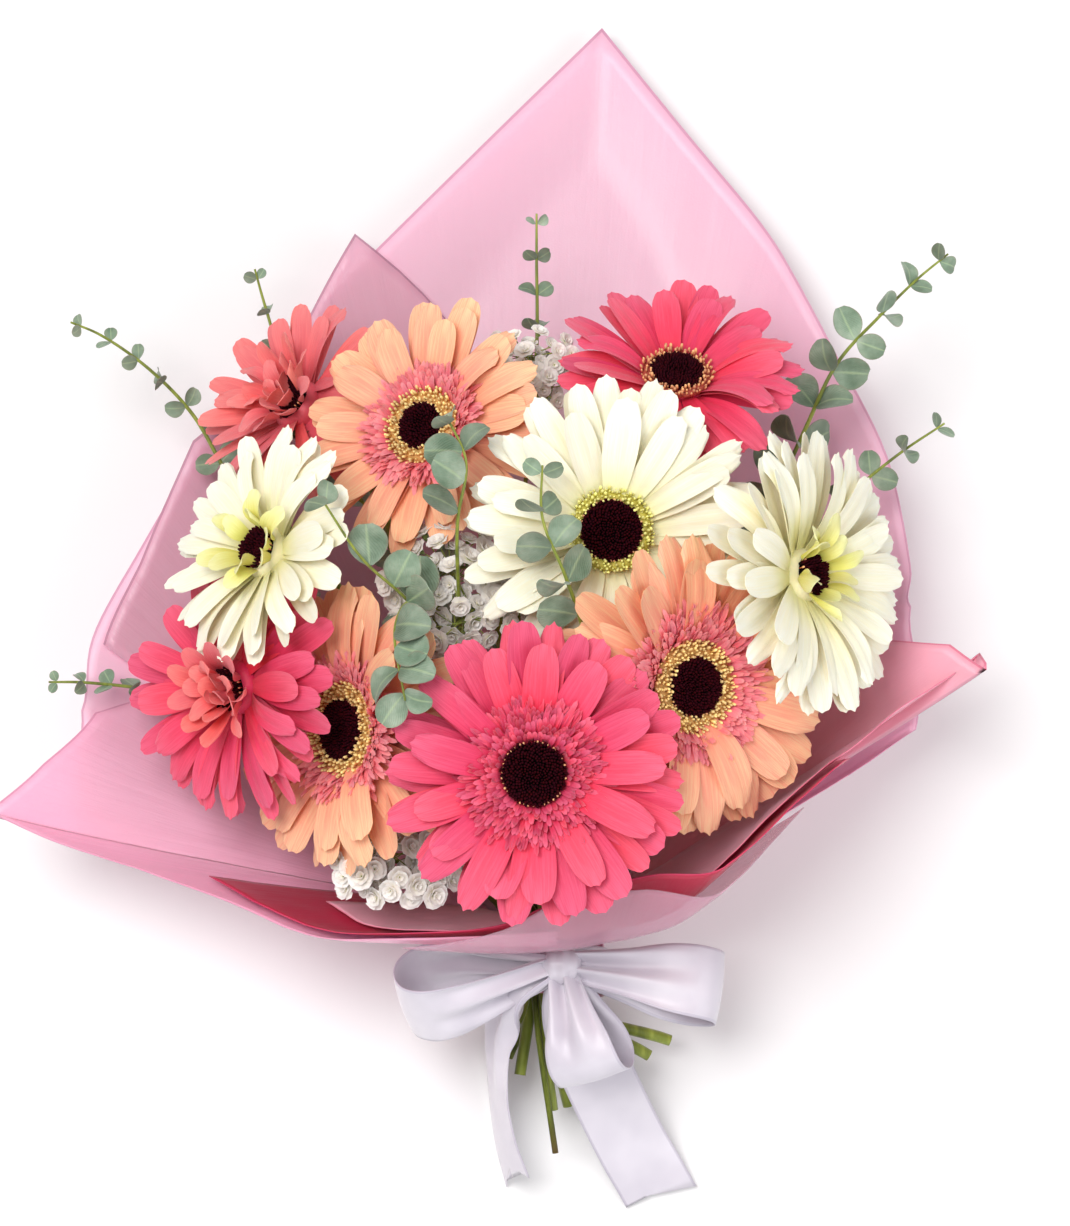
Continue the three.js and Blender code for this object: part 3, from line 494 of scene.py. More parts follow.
class Finish(NodeTree):
    """A node material, with short ways to make its textures."""

    def __init__(self, name, roughness=0.5, sheen=0.0, subsurface=0.0, scatter=(1, 0.4, 0.3)):
        self.material = bpy.data.materials.new(name)
        self.material.use_nodes = True
        super().__init__(self.material.node_tree)
        self.shader = self.tree.nodes["Principled BSDF"]
        self.shader.inputs["Roughness"].default_value = roughness
        self.shader.inputs["Sheen Weight"].default_value = sheen
        self.shader.inputs["Subsurface Weight"].default_value = subsurface
        self.shader.inputs["Subsurface Radius"].default_value = scatter
        self.shader.inputs["Subsurface Scale"].default_value = 0.002

    def feed(self, socket, value):
        super().feed(socket, shader_color(value) if isinstance(value, str) else value)

    def object_coords(self):
        return self.node("ShaderNodeTexCoord").outputs["Object"]

    def uv(self, scale=(1, 1, 1), turn=(0, 0, 0)):
        node = self.node("ShaderNodeUVMap")
        node.uv_map = "UVMap"
        return self.mapped(node.outputs["UV"], scale, turn)

    def mapped(self, vector, scale=(1, 1, 1), turn=(0, 0, 0)):
        return self.node("ShaderNodeMapping", Vector=vector, Scale=scale,
                         Rotation=turn).outputs["Vector"]

    def noise(self, vector, scale, detail=3.0, rough=0.55):
        return self.node("ShaderNodeTexNoise", Vector=vector, Scale=scale, Detail=detail,
                         Roughness=rough).outputs["Fac"]

    def ramp(self, factor, *stops):
        node = self.node("ShaderNodeValToRGB", Fac=factor)
        points = node.color_ramp.elements
        while len(points) < len(stops):
            points.new(0.5)
        for point, (place, color) in zip(points, stops):
            point.position = place
            point.color = shader_color(color) if isinstance(color, str) else color
        return node.outputs["Color"]

    def mix(self, factor, first, second, mode="MIX"):
        node = self.tree.nodes.new("ShaderNodeMix")
        node.data_type = "RGBA"
        node.blend_type = mode
        self.feed(node.inputs["Factor"], factor)
        self.feed(node.inputs[6], first)
        self.feed(node.inputs[7], second)
        return node.outputs[2]

    def math(self, operation, first, second=0.0, limit=False):
        node = self.tree.nodes.new("ShaderNodeMath")
        node.operation = operation
        node.use_clamp = limit
        self.feed(node.inputs[0], first)
        self.feed(node.inputs[1], second)
        return node.outputs[0]

    def times(self, first, second, limit=False):
        return self.math("MULTIPLY", first, second, limit)

    def over(self, color, paint, mask, strength):
        """A colour with another one laid over it where a mask says so."""
        return self.mix(self.times(mask, strength), color, paint)

    def split(self, vector):
        return self.node("ShaderNodeSeparateXYZ", Vector=vector).outputs

    def tint(self, color, low=0.86, high=1.1, shift=0.005):
        """Each floret is a little lighter or darker, by its own attribute."""
        attribute = self.tree.nodes.new("ShaderNodeAttribute")
        attribute.attribute_name = "tint"
        value = attribute.outputs["Fac"]
        light = self.math("MULTIPLY_ADD", value, high - low)
        light.node.inputs[2].default_value = low
        hue = self.math("MULTIPLY_ADD", value, 2 * shift)
        hue.node.inputs[2].default_value = 0.5 - shift
        return self.node("ShaderNodeHueSaturation", Hue=hue, Value=light,
                         Color=color).outputs["Color"]

    def bump(self, height, strength, distance):
        node = self.node("ShaderNodeBump", Height=height, Strength=strength,
                         Distance=distance)
        self.feed(self.shader.inputs["Normal"], node.outputs["Normal"])

    def paint(self, color):
        self.feed(self.shader.inputs["Base Color"], color)
        return self.material


def petal_finish(name, colors, streaks, light=(0.86, 1.1)):
    """A petal: its colours at the root, middle and tip, of its veins, and of its back."""
    base, middle, end, streak, *back = colors.split()
    finish = Finish(name, roughness=0.52, sheen=0.15, subsurface=0.12)
    place = finish.split(finish.uv())
    along = finish.ramp(place[1], (0.0, base), (0.42, middle), (1.0, end))
    veins = finish.noise(finish.uv((11, 1.1, 1)), 2.2, 4.0)
    vein_mask = finish.ramp(veins, (0.42, "000000"), (0.62, "ffffff"))
    strength = finish.times(vein_mask, streaks)
    color = finish.mix(strength, along, streak)
    blotch = finish.noise(finish.object_coords(), 60.0, 2.0)
    color = finish.over(color, streak, blotch, 0.18)
    if back:
        under = finish.tree.nodes.new("ShaderNodeAttribute")
        under.attribute_name = "under"
        color = finish.mix(under.outputs["Fac"], color, finish.mix(strength, back[0], streak))
    grain = finish.noise(finish.uv((26, 1.6, 1)), 2.6, 3.0)
    finish.bump(grain, 0.35, 0.0007)
    return finish.paint(finish.tint(color, *light))


PINK_PETAL = petal_finish("petal_hot_pink", "dc1e46 f63c64 fa6484 d81846 e8587a", 0.42)
CREAM_PETAL = petal_finish("petal_cream", "ece696 fff8e0 fffdf0 f6ecbc fcf4c8", 0.34,
                           (0.97, 1.04))
PEACH_PETAL = petal_finish("petal_peach", "f68076 fcb08a ffcc9e f68674 f8b254", 0.55,
                           (0.95, 1.06))
CORAL_PETAL = petal_finish("petal_coral", "e84e5a f36c70 f78684 de485c f2807a", 0.32)
PINK_FLORET = petal_finish("floret_pink", "f67470 fa7684 fea0a0 ee546e", 0.3, (0.9, 1.12))
ROSE_FLORET = petal_finish("floret_rose", "ce1a3e ee3860 fa6888 ce1a46", 0.3, (0.8, 1.12))
YELLOW_FLORET = petal_finish("floret_yellow", "d6ce54 ece67e f6f4b8 d4c64c", 0.25)
CORAL_FLORET = petal_finish("floret_coral", "e03c4a f46264 f8807c dc3c54", 0.3)


def tip_finish(name, root, tip, roughness=0.6, gloss=0.4):
    """A small peg, dark at its root and pale at its tip."""
    finish = Finish(name, roughness=roughness)
    finish.shader.inputs["Specular IOR Level"].default_value = gloss
    place = finish.split(finish.uv())
    color = finish.ramp(place[1], (0.35, root), (0.95, tip))
    speck = finish.noise(finish.object_coords(), 900.0, 2.0)
    color = finish.over(color, root, speck, 0.4)
    finish.bump(speck, 0.3, 0.0003)
    return finish.paint(finish.tint(color, 0.7, 1.2, 0.01))


EYE = tip_finish("eye", "140208", "3e0818", 0.9, 0.1)
POLLEN = tip_finish("pollen", "f0be6c", "ffe6a0")
LEMON_POLLEN = tip_finish("pollen_lemon", "e6de64", "fcf8a0")
ROSE_POLLEN = tip_finish("pollen_rose", "cc684c", "f8be88")


def stem_finish():
    finish = Finish("stem", roughness=0.5, sheen=0.3, subsurface=0.05)
    coords = finish.object_coords()
    long_grain = finish.noise(finish.mapped(coords, (260, 24, 260)), 1.0, 4.0)
    color = finish.ramp(long_grain, (0.3, "56601a"), (0.55, "828e2e"),
                        (0.8, "aab04e"))
    height = finish.split(coords)[1]
    cut = finish.math("MULTIPLY_ADD", height, -70.0, True)
    cut.node.inputs[2].default_value = -13.6
    color = finish.mix(cut, color, "70542c")
    finish.bump(long_grain, 0.4, 0.0005)
    return finish.paint(color)


def leaf_finish():
    finish = Finish("leaf", roughness=0.58, sheen=0.25, subsurface=0.05)
    place = finish.split(finish.uv())
    coords = finish.object_coords()
    cloud = finish.noise(coords, 90.0, 4.0)
    color = finish.ramp(cloud, (0.3, "587058"), (0.52, "7c907a"),
                        (0.75, "a2b19c"))
    middle = finish.math("ABSOLUTE", finish.math("SUBTRACT", place[0], 0.5))
    rib = finish.math("SUBTRACT", 1.0, finish.times(middle, 16.0), True)
    color = finish.over(color, "b0c496", rib, 0.5)
    rim = finish.times(finish.math("SUBTRACT", middle, 0.44, True), 10.0, True)
    color = finish.over(color, "967868", rim, 0.5)
    wave = finish.node("ShaderNodeTexWave", Vector=finish.uv((1, 1, 1), (0, 0, 0.7)),
                       Scale=5.0, Distortion=3.0, Detail=2.0).outputs["Fac"]
    finish.bump(finish.math("ADD", wave, finish.times(rib, 1.5)), 0.25, 0.0004)
    return finish.paint(finish.tint(color, 0.74, 1.2, 0.014))


def cup_finish():
    finish = Finish("bract", roughness=0.55, sheen=0.3)
    cloud = finish.noise(finish.object_coords(), 220.0, 3.0)
    color = finish.ramp(cloud, (0.3, "54682c"), (0.7, "88984c"))
    finish.bump(cloud, 0.4, 0.0005)
    return finish.paint(color)


def head_finish():
    finish = Finish("gypsophila", roughness=0.65, sheen=0.1, subsurface=0.25,
                    scatter=(1, 0.95, 0.92))
    place = finish.split(finish.uv())
    color = finish.ramp(place[1], (0.0, "e2deaa"), (0.45, "fdf6ec"),
                        (1.0, "fffbf8"))
    grain = finish.noise(finish.object_coords(), 700.0, 2.0)
    finish.bump(grain, 0.3, 0.0003)
    return finish.paint(finish.tint(color, 0.9, 1.05, 0.01))


def paper_finish(name, inner, shade, edge, gloss=0.42, alpha=1.0, streak=0.3):
    """Coated wrapping paper: painted shade in soft patches and long crease lines, and a thin
    coloured cut edge.
    """
    finish = Finish(name, roughness=gloss, sheen=0.1, subsurface=0.4, scatter=(1, 0.6, 0.7))
    coords = finish.object_coords()
    place = finish.split(finish.uv())
    # Soft broad patches where the paper turns to its darker shade colour: painted shade.
    painted_shade_patches = finish.noise(coords, 5.0, 2.0, 0.5)
    crease_relief_and_shade = finish.noise(finish.uv((26, 1.4, 1)), 1.0, 5.0, 0.6)
    color = finish.mix(painted_shade_patches, inner, shade)
    # Long crease lines laid over in the shade colour: painted shade along the crease lines, as
    # strong as streak says; the same lines give the crease bump.
    color = finish.over(color, shade, crease_relief_and_shade, streak)
    rim = finish.math("GREATER_THAN", place[1], 0.996)
    color = finish.over(color, edge, rim, 0.5)
    fibre = finish.noise(coords, 1400.0, 2.0)
    finish.bump(finish.math("ADD", crease_relief_and_shade, finish.times(fibre, 0.05)), 0.35, 0.002)
    finish.shader.inputs["Alpha"].default_value = alpha
    finish.shader.inputs["Coat Weight"].default_value = 0.15
    finish.shader.inputs["Coat Roughness"].default_value = 0.3
    return finish.paint(color)


PAPER = paper_finish("paper_pink", "fbcadb", "f4acc6", "ba7c9a")
FLAP = paper_finish("paper_flap", "f6b6cc", "ee98b6", "c47896")
RIGHT = paper_finish("paper_right", "f7b4c0", "f092a8", "d23c68")
CRIMSON = paper_finish("paper_crimson", "c4244a", "a01236", "d83868")
# streak=0.7 lays strong streaks of painted shade across the film.
FILM = paper_finish("film", "f0c4d4", "dc9eb6", "ceaabc", gloss=0.2, alpha=0.4, streak=0.7)
LINING = paper_finish("film_lining", "f9c4d6", "f1a4be", "966882",
                      gloss=0.3, alpha=0.75, streak=0.4)


def satin_finish():
    finish = Finish("satin", roughness=0.3, sheen=0.35)
    coords = finish.uv((1, 1, 1))
    weave = finish.node("ShaderNodeTexWave", Vector=coords, Scale=60.0, Distortion=0.6,
                        Detail=1.0).outputs["Fac"]
    # The satin is white: the ramp paints it lavender-grey as painted shade, and its random
    # lighter and darker patches are painted sheen and shade.
    cloud = finish.noise(finish.object_coords(), 26.0, 3.0)
    color = finish.ramp(cloud, (0.3, "c4beca"), (0.6, "dbd5df"),
                        (0.85, "ece7ee"))
    place = finish.split(coords)
    selvedge = finish.math("GREATER_THAN", finish.math("ABSOLUTE", finish.math(
        "SUBTRACT", place[0], 0.5)), 0.462)
    color = finish.over(color, "b2aabc", selvedge, 0.45)
    finish.bump(finish.math("ADD", finish.times(weave, 0.3), finish.times(selvedge, 0.8)),
                0.18, 0.0003)
    finish.shader.inputs["Anisotropic"].default_value = 0.55
    finish.shader.inputs["Coat Weight"].default_value = 0.1
    return finish.paint(color)


def twine_finish():
    finish = Finish("twine", roughness=0.85)
    coords = finish.object_coords()
    wave = finish.node("ShaderNodeTexWave", Vector=finish.mapped(coords, turn=(0, 0, 1.57)),
                       Scale=320.0, Distortion=1.5, Detail=2.0).outputs["Fac"]
    color = finish.ramp(wave, (0.2, "8c704a"), (0.8, "ceb282"))
    finish.bump(wave, 0.6, 0.0006)
    return finish.paint(color)


STEM = stem_finish()
LEAF = leaf_finish()
CUP = cup_finish()
HEAD = head_finish()
SATIN = satin_finish()
TWINE = twine_finish()

# ---------------------------------------------------------------- wrap

# One rib for each angle round the neck: the angle, the rim point, the height that the rib
# sags to on its way, and how far it bulges out over the tie. All sheets follow these ribs.
RIBS = np.array([
    [2, 175.4, -9.4, 58, 26, 0],
    [7, 189.3, -20.2, 63, 30, 0],
    [13, 178, -29.7, 66, 34, 0],
    [22, 158.5, -42.8, 72, 40, 0],
    [33, 141, -57.6, 79, 47, 2],
    [43, 126.7, -68.3, 85, 53, 4],
    [53, 109, -85, 92, 57, 8],
    [62, 91.9, -102.1, 97, 60, 12],
    [71, 77.5, -111.6, 99, 62, 18],
    [80, 55.4, -112, 100, 62, 26],
    [90, 26.3, -117, 99, 61, 26],
    [101, 3.1, -124, 92, 60, 16],
    [113, -32.4, -126, 86, 58, 8],
    [125, -62.5, -124.7, 80, 54, 3],
    [136, -91, -113, 74, 47, 0],
    [148, -124.6, -99.8, 66, 40, 0],
    [158, -160, -87.6, 59, 34, 0],
    [167, -189, -73.6, 53, 30, 0],
    [174, -166, -52.5, 48, 24, 0],
    [181, -152, -31, 41, 18, 0],
    [189, -149, -3, 37, 12, 0],
    [198, -134, 28, 34, 7, 0],
    [208, -111, 70, 29, 2, 0],
    [218, -95, 92.5, 25, -3, 0],
    [228, -76, 118.6, 20, -9, 0],
    [239, -50.3, 147.3, 15, -15, 0],
    [254, -4, 196, 11, -22, 0],
    [270, 43.7, 244.6, 10, -24, 0],
    [282, 77, 201, 12, -22, 0],
    [294, 104, 165.5, 16, -15, 0],
    [306, 117, 143, 20, -9, 0],
    [320, 133, 109, 26, -1, 0],
    [335, 151, 67.6, 34, 8, 0],
    [348, 158.5, 24.4, 42, 16, 0],
    [356, 158, 7, 48, 21, 0],
], float)
CORNERS = (1, 17, 27)  # ribs that end in a sharp point of the paper
OUTERMOST = 4
LATE = 0.97  # of a rib's length: past its rim it runs on as it does from here
SHEET_STEP, SHEET_SPREAD = 1.4, 1.2
SHEET_FACES = (0.22, 0.58)  # of the 0.8 mm that the solids give each sheet
LOWEST = (0.05, 0.35)  # heights of the sheets' outer and inner faces over the surface


def rib_row(k):
    row = RIBS[k % len(RIBS)].copy()
    row[0] += 360 * (k // len(RIBS))
    return row


def rib_values(u):
    """The rib's values at a place between two ribs, smooth except at the points."""
    k = int(math.floor(u))
    t = u - k
    before, first, second, after = (rib_row(k + d) for d in (-1, 0, 1, 2))
    m1 = second - first if k % len(RIBS) in CORNERS else 0.5 * (second - before)
    m2 = second - first if (k + 1) % len(RIBS) in CORNERS else 0.5 * (after - first)
    return ((2 * t ** 3 - 3 * t * t + 1) * first + (t ** 3 - 2 * t * t + t) * m1
            + (3 * t * t - 2 * t ** 3) * second + (t ** 3 - t * t) * m2)


def rib_points(u, shares):
    """Points of the outermost surface along one rib."""
    angle, x, y, z, sag, bulge = rib_values(u)
    turn = math.radians(angle)
    start = np.array([NECK.x + NECK_RADIUS * math.cos(turn), NECK.y,
                      NECK.z + NECK_RADIUS * math.sin(turn)])
    rim = np.array([x, y, z])
    first = start + 0.14 * (rim - start)
    first[1] += 9
    first[2] = start[2] + (sag - start[2]) * 0.6
    second = start + 0.64 * (rim - start)
    second[1] -= bulge
    second[2] = sag

    def curve(s):
        return ((1 - s) ** 3 * start + 3 * (1 - s) ** 2 * s * first
                + 3 * (1 - s) * s * s * second + s ** 3 * rim)

    past_rim = (rim - curve(LATE)) / (1 - LATE)  # for each further share of the rib
    out = []
    for share in shares:
        if share < 0:
            at = start.copy()
            at[1] += NECK_LENGTH * share
        else:
            at = curve(min(share, 1))
            if share > 1:
                at = at + past_rim * (share - 1)
        pleat = 1.5 * math.exp(-((share - 0.16) / 0.1) ** 2) if share > 0 else 0
        outwards = np.array([math.cos(turn), 0, math.sin(turn)])
        at = at + outwards * pleat * math.sin(turn * 14)
        at[2] = max(at[2], 0)
        out.append(at)
    return np.array(out)


def along(pairs, x):
    """The value at x between pairs of (x, value)."""
    last = pairs[0]
    for pair in pairs:
        if x <= pair[0]:
            part = (x - last[0]) / (pair[0] - last[0]) if pair[0] > last[0] else 0
            return last[1] + (pair[1] - last[1]) * part
        last = pair
    return last[1]


def sheet_mesh(name, layer, first, last, rim, seed, fine=7, rows=44, crease=0.35):
    """A sheet of the wrap: its layer counts from the inside out."""
    total = len(RIBS)
    angles = [rib_row(k)[0] for k in range(2 * total)]
    start = next(k for k in range(2 * total) if angles[k] >= first - 0.01)
    end = max(k for k in range(2 * total) if angles[k] <= last + 0.01)
    places = [start + i / fine for i in range((end - start) * fine + 1)]
    step = 0.02  # of a share of the rib, for the direction along it
    faces = ([], [])
    uvs = []
    for i, u in enumerate(places):
        reach = along(rim, rib_values(u)[0])
        shares = [-1, -0.5] + [reach * (j / rows) ** 1.05 for j in range(rows + 1)]
        at = rib_points(u, shares)
        across = rib_points(u + 0.12, shares) - rib_points(u - 0.12, shares)
        forward = (rib_points(u, [s + step for s in shares])
                   - rib_points(u, [s - step for s in shares]))
        inward = np.cross(across, forward)
        inward /= np.maximum(np.linalg.norm(inward, axis=1, keepdims=True), 1e-9)
        for j, share in enumerate(shares):
            depth = (OUTERMOST - layer) * (SHEET_STEP + SHEET_SPREAD * max(share, 0))
            wave = noise.noise(Vector((i * 0.22, share * 5.0, seed)))
            wave += 0.5 * noise.noise(Vector((i * 0.6, share * 16.0, seed + 7)))
            depth += crease * wave * clamp01(share * 4)
            for side, extra in enumerate(SHEET_FACES):
                faces[side].append(at[j] + inward[j] * (depth + extra))
            uvs.append((i / (len(places) - 1), max(share, 0) / reach))
    shape = (len(places), rows + 3, 3)
    outer, inner = (np.array(f).reshape(shape) for f in faces)
    outer[..., 2] = np.maximum(outer[..., 2], LOWEST[0])
    inner[..., 2] = np.maximum(inner[..., 2], LOWEST[1])
    return slab_mesh(name, outer, inner, np.array(uvs))


SHEETS = [
    ("paper_right", 0, 335, 496, RIGHT, "paper_pink",
     [[335, 0.62], [356, 0.9], [362, 1], [403, 1], [422, 0.96], [450, 0.9], [473, 0.84],
      [496, 0.74]]),
    ("crimson_sheet", 1, 22, 148, CRIMSON, "paper_crimson",
     [[22, 0.8], [33, 0.96], [43, 1.06], [53, 1.09], [71, 1.1], [80, 1.07], [90, 1.02],
      [113, 0.975], [136, 0.96], [148, 0.86]]),
    ("paper_left", 2, 90, 198, FLAP, "paper_pink",
     [[90, 0.9], [101, 0.98], [113, 1], [174, 1], [181, 0.98], [198, 0.66]]),
    ("film_front", 3, 43, 113, FILM, "film",
     [[43, 0.9], [62, 1], [71, 1.03], [80, 1.06], [90, 1.07], [101, 1.04], [113, 0.96]]),
    ("film_lining", 3, 189, 254, LINING, "film",
     [[189, 0.98], [198, 0.99], [208, 1.02], [218, 0.98], [228, 0.99], [239, 1.04],
      [254, 0.72]]),
    ("paper_back", 4, 158, 373, PAPER, "paper_pink",
     [[158, 0.72], [174, 0.94], [181, 1], [356, 1], [362, 0.9], [373, 0.72]]),
]
for number, (name, layer, first, last, finish, slot, rim) in enumerate(SHEETS):
    put(name, sheet_mesh(name, layer, first, last, rim, 3.1 * number), finish, slot, name)

# ---------------------------------------------------------------- ribbon

RIBBON_WIDTH, RIBBON_THICK = 27, 0.4
KNOT = np.array([27.0, -127.0, 52.0])


def strip_mesh(name, stations, notch=0.0, slant=0.0, fine=7, columns=20, folds=2):
    """A ribbon along stations of a point, the way across, and the span. Where its span is
    less than its width it is gathered in folds, so that its cut width stays the same."""
    rows = smooth_through(stations, fine)
    length = np.concatenate([[0], np.cumsum(np.linalg.norm(np.diff(rows[:, :3], axis=0),
                                                           axis=1))])
    outer, inner, uvs = [], [], []
    for i, row in enumerate(rows):
        at, across, span = row[:3], row[3:6], min(row[6], RIBBON_WIDTH)
        forward = rows[min(i + 1, len(rows) - 1), :3] - rows[max(i - 1, 0), :3]
        forward /= np.linalg.norm(forward)
        across = across - forward * across.dot(forward)
        across /= np.linalg.norm(across)
        face = np.cross(forward, across)
        spare = math.sqrt(max(RIBBON_WIDTH ** 2 - span ** 2, 0)) / (4 * folds)
        for k in range(columns + 1):
            u = k / columns
            place = at + across * span * (u - 0.5)
            place = place + face * spare * math.sin(math.tau * folds * u)
            place = place + face * 0.9 * math.cos(math.pi * (u - 0.5)) * (span / RIBBON_WIDTH)
            if i == len(rows) - 1:
                place = place - forward * notch * (1 - abs(2 * u - 1))
                place = place + forward * slant * (u - 0.5)
            outer.append(place - face * RIBBON_THICK / 2)
            inner.append(place + face * RIBBON_THICK / 2)
            uvs.append((u, length[i] / RIBBON_WIDTH))
    shape = (len(rows), columns + 1, 3)
    return slab_mesh(name, np.array(outer).reshape(shape), np.array(inner).reshape(shape),
                     np.array(uvs)), length[-1]


def loop_rows(out, across, length, rise, steps=10):
    """The stations of a loop of the bow, out from the knot and back to it."""
    outward = np.array(out) / np.linalg.norm(out)
    wide = np.array(across, float)
    wide -= outward * wide.dot(outward)
    wide /= np.linalg.norm(wide)
    lift = np.cross(outward, wide)
    stations = []
    for i in range(steps + 1):
        turn = i / steps
        reach = math.sin(math.pi * turn)
        at = KNOT + outward * length * reach ** 0.8 + lift * rise * math.sin(math.tau * turn)
        span = 10 + (RIBBON_WIDTH - 10) * min(1, reach * 1.5)
        stations.append(np.concatenate([at, wide, [span]]))
    return stations


LOOPS = [
    ("loop_left", (-0.97, -0.2, -0.1), (0, 0.62, 0.75), 60, 12),
    ("loop_right", (0.97, -0.14, -0.08), (-0.2, -0.97, 0.12), 59, 9),
    ("loop_front", (0.3, -0.93, -0.12), (0.86, 0.25, 0.34), 43, 11),
]
LEFT_TAIL = [
    [22, -128, 51, 0.7, 0, 0.7, 11], [9, -139, 47, 0.5, 0.2, 0.8, 18],
    [4, -150, 32, 0.34, 0, 0.94, 24], [3.5, -170, 19, 0.24, 0, 0.97, 27],
    [6.5, -190, 14, 0.28, 0, 0.96, 27], [11, -204.5, 13.6, 0.34, 0, 0.94, 27],
]
RIGHT_TAIL = [
    [27, -128, 49.5, 1, 0, 0, 10], [30, -141, 45, 1, 0.1, 0, 21],
    [36, -155, 33, 0.96, 0.26, 0, 27], [44, -172, 20, 0.94, 0.32, 0, 27],
    [54, -191, 8, 0.92, 0.36, 0, 27], [60, -201, 3.6, 0.93, 0.33, 0, 27],
    [64, -208, 1.8, 0.95, 0.3, 0.04, 27],
]


def knot_mesh():
    """The turn of ribbon round the middle of the bow, pinched and creased lengthwise."""
    points, uvs = [], []
    around, down = 40, 18
    for j in range(down + 1):
        polar = math.pi * j / down
        for k in range(around):
            turn = math.tau * k / around
            crease = 1 + 0.07 * math.sin(9 * polar + 1.2 * math.sin(turn)) * math.sin(polar)
            radius = 6.5 * math.sin(polar) ** 0.7 * crease
            points.append((KNOT[0] + 7.3 * math.cos(polar),
                           KNOT[1] + radius * math.cos(turn),
                           KNOT[2] + radius * math.sin(turn)))
            uvs.append((j / down, k / 8))
    mesh = build_mesh("knot", to_metres(points), ring_faces(down + 1, around, False), uvs)
    tidy = bmesh.new()
    tidy.from_mesh(mesh)
    bmesh.ops.remove_doubles(tidy, verts=tidy.verts, dist=1e-6)
    tidy.to_mesh(mesh)
    tidy.free()
    turn_outwards(mesh)
    return mesh


bow_parts, bow_length = [], 0.0
for strip in [(name, loop_rows(*shape)) for name, *shape in LOOPS] + [
        ("tail_left", LEFT_TAIL, 7, 0), ("tail_right", RIGHT_TAIL, 0, 9)]:
    mesh, run = strip_mesh(*strip)
    bow_parts.append(mesh)
    bow_length += run
bow = put("ribbon_bow", joined("ribbon_bow", bow_parts + [knot_mesh()]), SATIN, "satin",
          "ribbon_bow")


def band_mesh():
    """The ribbon round the neck: three narrow pleats run round it."""
    inner_radius, width, sides, rows = NECK_RADIUS + 0.55, 15, 96, 12
    outer, inner, uvs = [], [], []
    for k in range(sides + 1):
        turn = math.tau * k / sides
        for j in range(rows + 1):
            u = j / rows
            pleat = 0.26 * math.sin(math.tau * 2.5 * u + 0.6 * math.sin(2 * turn))
            for store, extra in ((outer, 0.62), (inner, 0.3)):
                radius = inner_radius + extra + pleat
                store.append((NECK.x + radius * math.cos(turn),
                              NECK.y - BAND_DROP + width * (u - 0.5),
                              NECK.z + radius * math.sin(turn)))
            uvs.append((u, 5 * k / sides))
    shape = (sides + 1, rows + 1, 3)
    return slab_mesh("ribbon_band", np.array(outer).reshape(shape),
                     np.array(inner).reshape(shape), np.array(uvs))


band = put("ribbon_band", band_mesh(), SATIN, "satin", "ribbon_band")
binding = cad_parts["stem_binding"]
binding.data.materials.clear()
binding.data.materials.append(TWINE)

# ---------------------------------------------------------------- gerberas


class BloomFrame:
    """The way a bloom faces, and two directions across it."""

    def __init__(self, eye, faces):
        self.middle = Vector(eye)
        self.facing = Vector(faces).normalized()
        self.side = Vector((0, 1, 0)).cross(self.facing).normalized()
        self.over = self.facing.cross(self.side)

    def out(self, angle):
        return self.side * math.cos(angle) + self.over * math.sin(angle)

    def aim(self, angle, tilt):
        """Outwards at an angle round the bloom, tilted towards the way that it faces."""
        return self.out(angle) * math.cos(tilt) + self.facing * math.sin(tilt)

    def at(self, radius, angle, height):
        return self.middle + self.facing * height + self.out(angle) * radius


SIDE_TUFT = [(5, 6.4, 58, 14), (6, 7.8, 42, 17)]
FULL_TUFT = [(5, 2.6, 76, 12), (7, 5, 60, 15), (9, 7.4, 44, 18)]
KINDS = {
    "pink": dict(petal=PINK_PETAL, slot="petal_hot_pink", florets=ROSE_FLORET,
                 pollen=ROSE_POLLEN, inner=CORAL_FLORET, inner_slot="floret_coral"),
    "cream": dict(petal=CREAM_PETAL, slot="petal_cream", pollen=LEMON_POLLEN,
                  inner=YELLOW_FLORET, inner_slot="floret_yellow"),
    "peach": dict(petal=PEACH_PETAL, slot="petal_peach", florets=PINK_FLORET,
                  pollen=POLLEN, broad=1.26),
    "coral": dict(petal=CORAL_PETAL, slot="petal_coral"),
}
